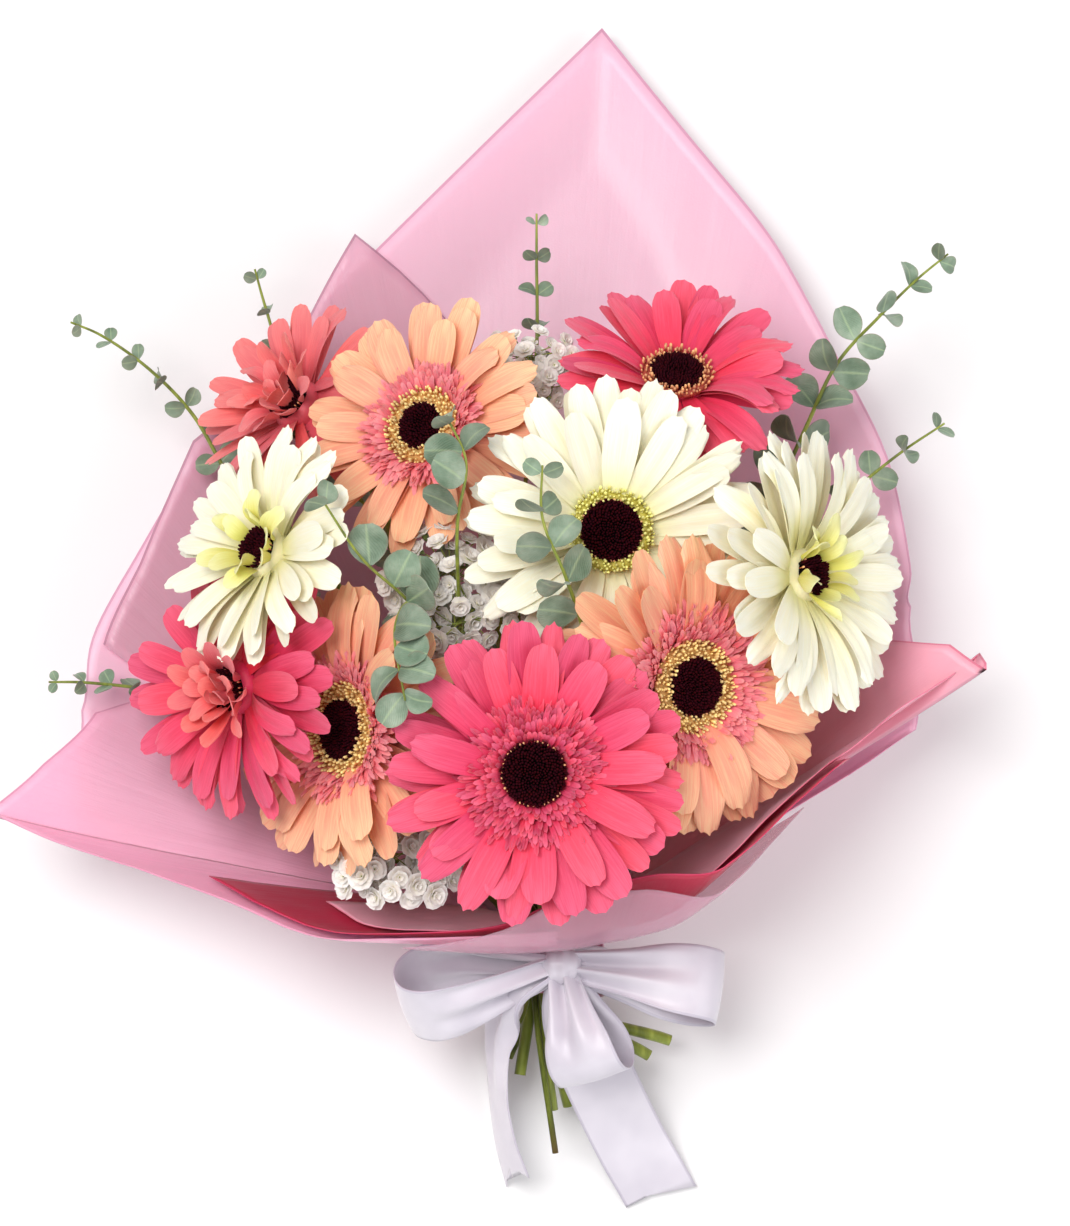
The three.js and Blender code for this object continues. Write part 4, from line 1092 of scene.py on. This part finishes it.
# Each bloom: its kind, eye, the way it faces, the radii of the bloom, its eye, its gold ring
# and its fringe, its stem's place in the neck, and its stem's cut end.
BLOOM_ROWS = [
    ("pink", (17, -65.5, 120), (0, -0.15, 1), 56, 10.9, 0, 25, (-2.6, 7.1), (31, -165, 25),
     dict(broad=1.1)),
    ("cream", (44.5, 23.2, 112), (0.1, -0.05, 1), 56, 10.7, 14.6, 0, (0, 2.6), (34, -170, 15),
     {}),
    ("peach", (73.3, -32.3, 107), (0.5, -0.2, 0.85), 56, 10.2, 16, 29, (5.2, 2.6),
     (60, -158, 21), {}),
    ("cream", (116, 9.1, 104), (0.76, 0, 0.64), 54, 7, 0, 20, (7.8, -2), (68, -152, 16),
     dict(tuft=SIDE_TUFT)),
    ("peach", (-22.9, 63.7, 101), (-0.42, 0.14, 0.9), 50, 8.2, 13.6, 23, (2.6, -2),
     (42, -160, 13), {}),
    ("cream", (-81.5, 18.3, 103), (-0.66, 0.16, 0.72), 47, 7, 0, 20, (-2.6, -2),
     (30, -176, 10), dict(tuft=SIDE_TUFT)),
    ("peach", (-50.5, -46.1, 96), (-0.72, -0.1, 0.7), 55, 10.4, 16, 27, (-5.2, 2.6),
     (24, -178, 18), {}),
    ("pink", (69.2, 84.6, 93), (0.05, 0.58, 0.8), 47, 9.2, 12.4, 0, (3.4, -7), (45, -157, 8),
     dict(broad=1.1)),
    ("pink", (-92.6, -30.5, 91), (-0.64, -0.25, 0.72), 50, 7, 0, 24, (-8.6, -1.6),
     (11.8, -165, 20), dict(tuft=FULL_TUFT)),
    ("coral", (-72.9, 80.6, 72), (-0.62, 0.35, 0.7), 42, 8, 0, 0, (-2, -6.8), (30, -160, 7),
     dict(veil=FULL_TUFT)),
]
BLOOM_KEYS = ("eye", "faces", "radius", "iris", "ring", "fringe", "stem", "foot")
BLOOMS = [{**KINDS[kind], **dict(zip(BLOOM_KEYS, values)), **own}
          for kind, *values, own in BLOOM_ROWS]
HUB_DEPTH, SEAT = 8, 0.35
RAY_ROWS = [  # how many, from which height, at what pitch, and how far they reach
    dict(count=19, base=-5.4, pitch=13, reach=1.0),
    dict(count=18, base=-4.0, pitch=17, reach=0.96),
    dict(count=13, base=-2.4, pitch=22, reach=0.84),
]
RAY_START = 9.0
BENDS = (0, 5, -5, 10, -10, 15, -15, -20, -25, -30, -36)
HIGHEST = 141  # of a ray's tip: the petal itself swells a little above it
OVERLAP = [0, 3, 2, 1, 5, 8, 6, 4, 7, 9]  # blooms from the uppermost to the lowest
RAY_GAP = 3.4  # between the middles of two rays that pass
RAY_NEAR = 6  # two points of rays this near each other, seen from above, count as one place
# A ray that would have to move less than the first is clear. One of the upper rows that would
# have to move more than the second is left out.
CLEAR, CROSSED = 0.6, 1.5
USUAL_RADIUS = 54  # of the bloom that the numbers of rays and their width are given for
LOWEST_ROOT = -8
SHORTER = (1, 0.88, 0.76, 0.64, 0.54)  # shares of a ray's reach that are tried in turn
RAY_LOWERED = 5  # degrees off the pitch where a ring of florets lies on the rays
RAY_SAMPLES = [(0.3, 0), (0.5, 0), (0.7, 0), (0.85, 0), (1, 0), (0.55, 0.9), (0.55, -0.9),
               (0.75, 0.9), (0.75, -0.9), (0.94, 0.6), (0.94, -0.6)]
bloom_frames = [BloomFrame(b["eye"], b["faces"]) for b in BLOOMS]
laid_rays = {}  # for each bloom, points on the rays that it has so far


def ray_samples(here, angle, base, reach, slope, half):
    """Points along the middle and both sides of a ray."""
    points = []
    for part, side in RAY_SAMPLES:
        radius = RAY_START + (reach - RAY_START) * part
        point = here.at(radius, angle, base + slope * (radius - RAY_START))
        points.append(point + here.out(angle + math.pi / 2) * side * half)
    return np.array(points)


def crossing(points, index):
    """How far a ray would have to move to pass wholly under the rays of the blooms laid
    before it, or wholly over them."""
    worst = 0.0
    for other, laid in laid_rays.items():
        if other == index:
            continue
        away = points[:, None, :] - laid[None, :, :]
        near = (away[..., 0] ** 2 + away[..., 1] ** 2) < RAY_NEAR ** 2
        if near.any():
            rises = away[..., 2][near]
            worst = max(worst, min(max(rises.max() + RAY_GAP, 0),
                                   max(RAY_GAP - rises.min(), 0) + 1))
    return worst


def clear_pitch(index, angle, base, reach, pitch, half):
    """The pitch nearest to the wished one at which a ray is clear of the blooms laid before
    its own, the height it starts from, how badly it still meets them, and its points."""
    own = bloom_frames[index]
    wished = math.tan(math.radians(pitch))
    best = None
    for bend in BENDS:
        slope = math.tan(math.radians(pitch + bend))
        root = max(base - 17 * max(slope - wished, 0), LOWEST_ROOT)
        points = ray_samples(own, angle, root, reach, slope, half)
        worst = crossing(points, index)
        high = points[:, 2].max()
        score = worst * 3 + max(bend * 0.34, bend * -0.17) + max(high - HIGHEST, 0) * 9
        if best is None or score < best[0]:
            best = (score, pitch + bend, root, worst, points)
    return best[1:]


def ray_spots(index, rng):
    """The ray florets of a bloom, in rows."""
    bloom, here = BLOOMS[index], bloom_frames[index]
    spots, laid = Spots(), []
    for row_number, row in enumerate(RAY_ROWS):
        broad = bloom.get("broad", 1)
        count = round(row["count"] * bloom["radius"] / USUAL_RADIUS / broad ** 0.7)
        for i in range(count):
            angle = math.tau * (i + 0.5 * row_number + 0.3 * (rng.random() - 0.5))
            angle /= count
            reach = bloom["radius"] * row["reach"] * rng.uniform(0.93, 1.02)
            pitch = row["pitch"] + rng.uniform(-3.5, 3.5)
            pitch -= RAY_LOWERED if bloom["fringe"] else 0
            wide = rng.uniform(0.84, 1.08) * broad * bloom["radius"] / USUAL_RADIUS
            for share in SHORTER:
                fit, base, worst, points = clear_pitch(index, angle, row["base"],
                                                       reach * share, pitch,
                                                       wide * RAY_WIDTH / 2)
                if worst < CLEAR:
                    break
            if worst > CROSSED and row_number:
                continue
            laid.append(points)
            tilt = math.radians(fit)
            outward = here.aim(angle, tilt)
            over = here.facing.copy()
            over += here.out(angle + math.pi / 2) * rng.uniform(-0.22, 0.22)
            length = (reach * share - RAY_START) / max(math.cos(tilt), 0.75)
            spots.add(here.at(RAY_START, angle, base), outward, over,
                      (length / RAY_LENGTH, wide, length / RAY_LENGTH),
                      rng.choice((0, 0, 1, 2)), rng.random())
    hub = [here.at(radius, math.pi * k / 3, 1) for radius in (4, 10) for k in range(6)]
    laid_rays[index] = np.concatenate(laid + [np.array(hub)])
    return spots


bloom_rays = {index: ray_spots(index, random.Random(200 + index)) for index in OVERLAP}


FLORET_PITCHES = (50, 15)  # of the innermost and the outermost row


def floret_ring(here, inner, outer, rows, shortest, rise, rng):
    """Thin florets in rows from an inner to an outer radius, the shortest ones inside."""
    spots = Spots()
    for row in range(rows):
        part = row / (rows - 1)
        radius = inner + (outer - inner) * part
        count = int(math.tau * radius / 1.2)
        for i in range(count):
            angle = math.tau * (i + 0.5 * (row % 2) + rng.uniform(-0.4, 0.4)) / count
            first, last = FLORET_PITCHES
            tilt = math.radians(first + (last - first) * part + rng.uniform(-8, 8))
            outward = here.aim(angle + rng.uniform(-0.08, 0.08), tilt)
            length = shortest + (FLORET_LENGTH - shortest) * part
            length *= rng.uniform(0.75, 1.15) / FLORET_LENGTH
            at = here.at(radius + rng.uniform(-0.5, 0.5), angle,
                         0.4 + rise * (radius - inner))
            spots.add(at, outward, here.facing, (length, 1, length),
                      rng.choice((0, 1, 2)), rng.random())
    return spots


def inner_tuft(here, rows, rng):
    """Short broad petals round the eye, in rows of (how many, radius, pitch, length)."""
    spots = Spots()
    for row, (count, radius, pitch, length) in enumerate(rows):
        for i in range(count):
            angle = math.tau * (i + 0.4 * row + rng.uniform(-0.2, 0.2)) / count
            tilt = math.radians(pitch + rng.uniform(-7, 7))
            outward = here.aim(angle, tilt)
            size = length * rng.uniform(0.85, 1.1) / INNER_LENGTH
            over = here.facing + here.out(angle + math.pi / 2) * rng.uniform(-0.4, 0.4)
            spots.add(here.at(radius, angle, 0.6), outward, over,
                      (size, rng.uniform(0.85, 1.1), size), rng.choice((0, 1, 2)),
                      rng.random())
    return spots


def eye_mesh(name, here, iris, rng):
    """The disc: tight buds in a spiral on a low dome."""
    spots = Spots()
    count = int(iris * iris * 3.2)
    for i in range(count):
        part = math.sqrt((i + 0.5) / count)
        angle = i * GOLDEN_ANGLE
        height = 0.6 + 1.5 * math.sin(math.pi * part ** 1.4)
        lean = 0.5 * (part - 0.25)
        outward = here.facing + here.out(angle) * lean
        size = 0.55 + 0.3 * part ** 2 + rng.uniform(-0.12, 0.12)
        radius = iris * 0.97 * part + rng.uniform(-0.25, 0.25)
        spots.add(here.at(radius, angle + rng.uniform(-0.02, 0.02), height), outward,
                  here.out(angle), (size * 1.5, size, size), 0, rng.random())
    buds = spots.grow(name + "_buds", [bud_form], EYE)
    base = lathe_mesh(name + "_base", here,
                      [(iris * 0.98, SEAT), (iris * 0.98, 0.9), (iris * 0.6, 1.9),
                       (iris * 0.2, 1.2)])
    base.materials.append(EYE)
    crown = Spots()
    count = int(math.tau * iris / 1.7)
    for i in range(count):
        angle = math.tau * (i + rng.uniform(-0.3, 0.3)) / count
        size = rng.uniform(0.5, 0.85)
        crown.add(here.at(iris - 0.3, angle, 0.6), here.facing + here.out(angle) * 0.3,
                  here.out(angle), (size, size, size), 0, rng.random())
    tips = crown.grow(name + "_crown", [anther_form], ROSE_POLLEN)
    return joined(name, [buds, base, tips])


def gold_mesh(name, here, iris, ring, finish, rng):
    """Anthers that stand round the eye."""
    spots = Spots()
    rows = max(3, round((ring - iris) / 1.05))
    for row in range(rows):
        radius = iris + 0.4 + (ring - iris - 0.7) * row / (rows - 1)
        count = int(math.tau * radius / 1.35)
        for i in range(count):
            angle = math.tau * (i + 0.5 * (row % 2) + rng.uniform(-0.4, 0.4)) / count
            outward = here.facing + here.out(angle) * (rng.uniform(-0.1, 0.3)
                                                       + 0.35 * row / rows)
            outward += here.out(angle + math.pi / 2) * rng.uniform(-0.25, 0.25)
            size = rng.uniform(0.6, 1.15)
            spots.add(here.at(radius + rng.uniform(-0.3, 0.3), angle, 0.4), outward,
                      here.out(angle), (size, size * 0.9, size * 0.9), 0, rng.random())
    pegs = spots.grow(name + "_pegs", [anther_form], finish)
    bed = lathe_mesh(name + "_bed", here, [(iris + 0.35, SEAT), (ring, SEAT), (ring, 1.5),
                                           (iris + 0.35, 2.2)], capped=False)
    faces = [tuple(p.vertices) for p in bed.polygons]
    count = len(bed.vertices) // 4
    faces += [(3 * count + k, 3 * count + (k + 1) % count, (k + 1) % count, k)
              for k in range(count)]
    bed = build_mesh(name + "_bed", [v.co for v in bed.vertices], faces)
    turn_outwards(bed)
    bed.materials.append(finish)
    return joined(name, [pegs, bed])


def stem_path(bloom, here):
    """A stem's way: cut end, straight through the neck, then up behind its bloom."""
    dx, dz = bloom["stem"]
    low = -HUB_DEPTH - SEAT
    x, z = NECK.x + dx, NECK.z + dz
    top = Vector((x, NECK.y + 3, z))
    bottom = Vector((x, NECK.y - NECK_LENGTH - 3, z))
    far = here.middle + here.facing * (low - 26)
    near = here.middle + here.facing * (low - 4)
    half = (Vector((x, NECK.y, z)) + far) / 2 - Vector((0, 0, 2))
    upper = smooth_through([top, half, far, near], 12)
    lower = smooth_through([bloom["foot"], bottom, top], 8)
    return np.concatenate([lower[:-1], upper])


STEM_RADIUS = 2.3
BRACT_COUNT = 18


def stem_mesh(name, bloom, here, rng):
    """A stem with the green cup of its bloom and three rows of bracts."""
    path = stem_path(bloom, here)
    swell = [STEM_RADIUS * (0.94 + 0.12 * noise.noise(Vector(p) * 0.06)) for p in path]
    stalk = stalks(name + "_stalk", [(path, swell)], STEM, 14)
    low = -HUB_DEPTH - SEAT
    cup = lathe_mesh(name + "_cup", here,
                     [(1.5, low - 9), (2.6, low - 8), (6.5, low - 5.4), (10, low - 2),
                      (11.2, low + 0.8), (10.4, low + 2.4)])
    cup.materials.append(CUP)
    bracts = Spots()
    for row, (radius, height, lean) in enumerate([(7.4, low - 5.4, 40), (9.4, low - 3.4, 46),
                                                  (11, low - 1, 50)]):
        for i in range(BRACT_COUNT):
            angle = math.tau * (i + 0.5 * row) / BRACT_COUNT
            bracts.add(here.at(radius, angle, height), here.aim(angle, math.radians(lean)),
                       here.facing, (0.55, 1, 0.55), 0, rng.random())
    return joined(name, [stalk, cup, bracts.grow(name + "_bracts", [bract_form], CUP)])


def add_bloom(index):
    bloom, here = BLOOMS[index], bloom_frames[index]
    name = "gerbera_%02d" % (index + 1)
    rng = random.Random(100 + index)

    def show(part, mesh, slot, node=None):
        put(name + part, mesh, None, slot, name + (node or part))

    def show_spots(part, spots, forms, finish, slot, node=None):
        show(part, spots.grow(name + part, forms, finish), slot, node)

    rays = bloom_rays[index].grow(name + "_rays", ray_forms, bloom["petal"])
    seat = lathe_mesh(name + "_seat", here, [(8.6, -7.6), (10, -5.5), (10, -2.5), (8, 0.2)])
    seat.materials.append(bloom["petal"])
    show("_rays", joined(name + "_rays", [rays, seat]), bloom["slot"])
    iris, ring, fringe = bloom["iris"], bloom["ring"], bloom["fringe"]
    show("_eye", eye_mesh(name + "_eye", here, iris, rng), "eye")
    if ring:
        show("_gold_ring", gold_mesh(name + "_gold_ring", here, iris, ring, bloom["pollen"],
                                     rng), "pollen")
    if "tuft" in bloom:
        show_spots("_inner_rays", inner_tuft(here, bloom["tuft"], rng), inner_forms,
                   bloom["inner"], bloom["inner_slot"])
    elif fringe and ring:
        show_spots("_pink_ring", floret_ring(here, ring + 0.2, fringe - 8, 6, 6.5, 0.34,
                                             rng),
                   floret_forms, bloom["florets"], "floret_pink")
    elif fringe:
        show_spots("_fringe", floret_ring(here, iris + 0.6, fringe - 6.5, 8, 5.5, 0.28,
                                          rng),
                   floret_forms, bloom["florets"], bloom["slot"], "_rays")
    if "veil" in bloom:
        show_spots("_veil", inner_tuft(here, bloom["veil"], rng), inner_forms,
                   bloom["petal"], bloom["slot"], "_rays")
    show("_stem", stem_mesh(name + "_stem", bloom, here, rng), "stem")


for index in range(len(BLOOMS)):
    add_bloom(index)

# ---------------------------------------------------------------- eucalyptus

# Each branch: its place in the neck, its cut end, where its twigs fork, and the twigs: each
# one's bends from the fork on, from which share of its length it carries leaves, how many
# pairs, and the length of its first and last leaves.
EUCALYPTUS = [
    dict(name="eucalyptus_left", neck=(-8.3, -5.8), foot=(8, -158, 9), fork=(-18, -64, 29),
         twigs=[([(-62, 0, 38), (-98, 58, 40), (-112, 82, 42), (-128, 98, 48),
                  (-146, 110, 53), (-157, 114, 57)], 0.3, 17, (12, 4.5)),
                ([(-70, -36, 40), (-120, -25, 47), (-150, -22, 51), (-163, -22, 52)],
                 0.8, 5, (8.5, 4))]),
    dict(name="eucalyptus_top", neck=(-5.6, -8), foot=(20, -158, 3.5), fork=(12, -60, 22),
         twigs=[([(-30, 20, 30), (-76, 98, 36), (-85, 124, 40), (-89, 138, 44)],
                 0.3, 15, (12, 4.5)),
                ([(12, 30, 34), (18, 106, 44), (18, 140, 50), (18, 157, 54)],
                 0.3, 15, (11.5, 4.5))]),
    dict(name="eucalyptus_right", neck=(8, -6.3), foot=(52, -146, 5), fork=(58, -52, 26),
         twigs=[([(94, 20, 38), (118, 72, 58), (130, 96, 66), (146, 114, 66),
                  (160, 128, 66), (172, 138, 66)], 0.34, 14, (17.5, 7)),
                ([(98, 8, 36), (130, 44, 52), (152, 62, 60), (170, 74, 62)],
                 0.36, 11, (14, 6))]),
    dict(name="eucalyptus_centre", neck=(-6.6, 7.2), foot=(25, -194, 20.5),
         fork=(11, -92, 45),
         twigs=[([(6, -60, 66), (-12, -20, 84), (-28, -2, 111), (-44, 10, 131),
                  (-58, 30, 138)], 0.78, 4, (15, 9)),
                ([(6, -60, 66), (-8, -20, 88), (-10, 4, 112), (-10, 24, 128), (-7, 44, 134),
                  (-14, 60, 137)], 0.83, 4, (16, 9)),
                ([(6, -60, 66), (-10, -20, 84), (-26, -2, 110), (-32, -16, 130),
                  (-28, -42, 137)], 0.72, 7, (17, 12)),
                ([(6, -60, 60), (-4, -30, 70), (-16, -6, 76), (-20, 16, 78)],
                 0.34, 9, (17, 14))]),
    dict(name="eucalyptus_front", neck=(3.2, 7.4), foot=(36, -152, 28), fork=(28, -86, 58),
         twigs=[([(36, -30, 94), (34, -12, 117), (28, 4, 129), (20, 24, 133),
                  (20, 42, 137)], 0.3, 11, (19, 8))]),
]
LEAVES_END = 0.985  # the share of a twig's length where its last leaves stand
LEAF_NEAR, LEAF_UNDER, LEAF_OVER = 7, 2.2, 3  # a leaf this close to a petal is left out


def branch_path(neck, foot, bends):
    """The part of a branch below the top of the neck, and the part above it."""
    x, z = NECK.x + neck[0], NECK.z + neck[1]
    top = Vector((x, NECK.y + 3, z))
    bottom = Vector((x, NECK.y - NECK_LENGTH - 3, z))
    upper = smooth_through([top] + list(bends), 12)
    return smooth_through([foot, bottom, top], 4)[:-1], upper


petal_points = np.concatenate(list(laid_rays.values()))


def meets_petal(point):
    away = petal_points - np.array(point)
    near = (away[:, 0] ** 2 + away[:, 1] ** 2) < LEAF_NEAR ** 2
    return bool((near & (away[:, 2] > -LEAF_UNDER) & (away[:, 2] < LEAF_OVER)).any())


def leaves_on(spots, upper, start, pairs, size, rng):
    """Round leaves in crossed pairs that shrink towards the tip and keep off the petals."""
    run = np.concatenate([[0], np.cumsum(np.linalg.norm(np.diff(upper, axis=0), axis=1))])
    for i in range(pairs):
        part = i / (pairs - 1)
        place = (start + (LEAVES_END - start) * part) * run[-1]
        k = max(min(int(np.searchsorted(run, place)), len(upper) - 1), 1)
        step = upper[k] - upper[k - 1]
        at = upper[k - 1] + step * (place - run[k - 1]) / (run[k] - run[k - 1])
        forward = Vector(step).normalized()
        flat = forward.cross(UP).normalized()
        length = size[0] + (size[1] - size[0]) * part ** 2.4
        quarter = 0.15 + 0.75 * (i % 2) + rng.uniform(-0.5, 0.5)
        for hand in (-1, 1):
            out = Matrix.Rotation(quarter + (0 if hand > 0 else math.pi), 3, forward) @ flat
            out = (out + forward * rng.uniform(0.35, 0.8)).normalized()
            over = UP + Vector((rng.uniform(-0.9, 0.9), rng.uniform(-0.9, 0.9), 0))
            if abs(out.dot(UP)) > 0.75:
                over = forward * -1
            scale = length * rng.uniform(0.88, 1.1) / LEAF_LENGTH
            if meets_petal(Vector(at) + out * length * 0.6):
                continue
            spots.add(Vector(at) + out * 0.6, out, over, (scale, scale, scale),
                      rng.choice((0, 1, 2)), rng.random())


for number, branch in enumerate(EUCALYPTUS):
    rng = random.Random(300 + number)
    spots, paths = Spots(), []
    for bends, start, pairs, size in branch["twigs"]:
        lower, upper = branch_path(branch["neck"], branch["foot"], [branch["fork"]] + bends)
        whole = np.concatenate([lower, upper])
        taper = [1.15 - 0.75 * clamp01((i - 12) / (len(whole) - 12)) for i in range(len(whole))]
        paths.append((whole, taper))
        leaves_on(spots, upper, start, pairs, size, rng)
    name = branch["name"]
    twig_mesh = stalks(name + "_twigs", paths, STEM, 8)
    leaf_mesh = spots.grow(name + "_leaves", leaf_forms, LEAF)
    put(name, joined(name, [twig_mesh, leaf_mesh]), None, "leaf", name)

# ---------------------------------------------------------------- gypsophila

GYPSOPHILA = [
    dict(name="gypsophila_top", neck=(0.5, -10.2), foot=(34, -146, 4),
         route=[(30, -50, 26), (30, 40, 50), (16, 88, 84)], heads=38, spread=(19, 16, 9),
         size=(0.8, 1.3)),
    dict(name="gypsophila_middle", neck=(-1.8, -10.6), foot=(28, -146, 6),
         route=[(14, -84, 22), (2, -44, 38), (-8, -16, 70), (-10, 2, 104)], heads=52,
         spread=(25, 25, 8), size=(1.1, 1.6)),
    dict(name="gypsophila_front", neck=(-9.6, 3.2), foot=(10, -150, 27),
         route=[(4, -101, 42), (-14, -93, 62), (-32, -95, 82)], heads=36, spread=(24, 12, 7),
         size=(1.1, 1.7)),
]
BOUGHS = 7
HEAD_ROWS = [(7, 4, 1.05), (6, 26, 0.85), (4, 54, 0.62)]  # how many petals, pitch and size

for number, spray in enumerate(GYPSOPHILA):
    rng = random.Random(500 + number)
    lower, upper = branch_path(spray["neck"], spray["foot"], spray["route"])
    main = np.concatenate([lower, upper])
    paths = [(main, [0.8 - 0.35 * i / len(main) for i in range(len(main))])]
    tip = Vector(upper[-1])
    crown = Vector(upper[-4])
    petals, calyxes = Spots(), Spots()
    wide, deep, high = spray["spread"]
    boughs = []
    for k in range(BOUGHS):
        angle = math.tau * k / BOUGHS + rng.uniform(-0.3, 0.3)
        reach = rng.uniform(0.35, 0.6)
        boughs.append(tip + Vector((wide * reach * math.cos(angle),
                                    deep * reach * math.sin(angle),
                                    rng.uniform(-3, 2))))
    for bough in boughs:
        bend = crown.lerp(bough, 0.5) + Vector((0, 0, -1))
        paths.append((smooth_through([crown, bend, bough], 4), [0.38] * 9))
    for i in range(spray["heads"]):
        bough = boughs[i % len(boughs)]
        angle = GOLDEN_ANGLE * i
        out = math.sqrt((i + 0.5) / spray["heads"])
        at = tip + Vector((wide * out * math.cos(angle), deep * out * math.sin(angle),
                           high * rng.uniform(-0.3, 0.9)))
        aim = (at - bough + Vector((0, 0, 16))).normalized()
        root = at - aim * 2.2
        paths.append((smooth_through([bough, bough.lerp(root, 0.5) - Vector((0, 0, 0.8)),
                                      root], 3), [0.22] * 7))
        size = rng.uniform(*spray["size"])
        side = aim.orthogonal().normalized()
        calyxes.add(root, aim, side, (size, size, size), 0, rng.random())
        for row, (count, lean, share) in enumerate(HEAD_ROWS):
            for k in range(count):
                turn = math.tau * (k + 0.5 * row) / count + angle
                outward = Matrix.Rotation(turn, 3, aim) @ side
                tilt = math.radians(lean + rng.uniform(-8, 8))
                scale = size * share
                petals.add(root + aim * 2.0 * size,
                           outward * math.cos(tilt) + aim * math.sin(tilt), aim,
                           (scale, scale, scale), 0, rng.random())
    name = spray["name"]
    thin = stalks(name + "_stalks", paths, STEM, 5)
    cups = calyxes.grow(name + "_calyxes", [calyx_form], CUP)
    heads = petals.grow(name + "_heads", [head_petal_form], HEAD)
    put(name, joined(name, [thin, cups, heads]), None, "gypsophila", name)

for form in FORMS:
    bpy.data.objects.remove(form)

# ---------------------------------------------------------------- stage, light and camera


def add_floor():
    finish = Finish("floor", roughness=0.9)
    grain = finish.noise(finish.object_coords(), 3.0, 2.0)
    finish.paint(finish.ramp(grain, (0.3, (0.86, 0.855, 0.86, 1)), (0.7, (0.9, 0.895, 0.9, 1))))
    half, low = 12.0, -0.0004
    points = [(-half, -half, low), (half, -half, low), (half, half, low), (-half, half, low)]
    mesh = build_mesh("floor", points, [(0, 1, 2, 3)])
    mesh.materials.append(finish.material)
    floor = linked("floor", mesh)


def add_light(name, place, aim, size, power, color=(1, 1, 1)):
    light = bpy.data.lights.new(name, "AREA")
    light.shape = "DISK"
    light.size = size
    light.energy = power
    light.color = color
    lamp = linked(name, light)
    lamp.location = place
    lamp.rotation_euler = (Vector(aim) - Vector(place)).to_track_quat("-Z", "Y").to_euler()


TARGET = to_metres([(17.4, 2.6, 60)])[0]
VIEW_DISTANCE, VIEW_ELEVATION = 1.5, math.radians(80)
FRAME_HEIGHT = 0.37 * 1226 * MM  # of the photograph, at the target
SENSOR = 36

add_floor()
add_light("key", (-0.5, 0.2, 1.6), (0, 0, 0.05), 1.0, 20, (1, 0.985, 0.97))
add_light("fill", (1.1, -0.5, 1.1), (0, 0, 0.05), 1.2, 7, (0.98, 0.985, 1))
add_light("low", (0.1, -1.3, 0.6), (0, -0.05, 0.05), 0.9, 3)
bpy.context.scene.view_settings.view_transform = "Standard"
world = bpy.data.worlds.new("studio")
bpy.context.scene.world = world
world.use_nodes = True
sky = world.node_tree.nodes["Background"].inputs
sky["Color"].default_value = (1, 1, 1, 1)
sky["Strength"].default_value = 0.48

camera = bpy.data.cameras.new("camera")
camera.sensor_fit = "VERTICAL"
camera.sensor_height = SENSOR
camera.lens = SENSOR * VIEW_DISTANCE / FRAME_HEIGHT
eye_point = linked("camera", camera)
sight = Vector((0, -math.cos(VIEW_ELEVATION), math.sin(VIEW_ELEVATION)))
eye_point.location = Vector(TARGET) + sight * VIEW_DISTANCE
eye_point.rotation_euler = (math.radians(90) - VIEW_ELEVATION, 0, 0)
bpy.context.scene.camera = eye_point

bpy.context.view_layer.update()
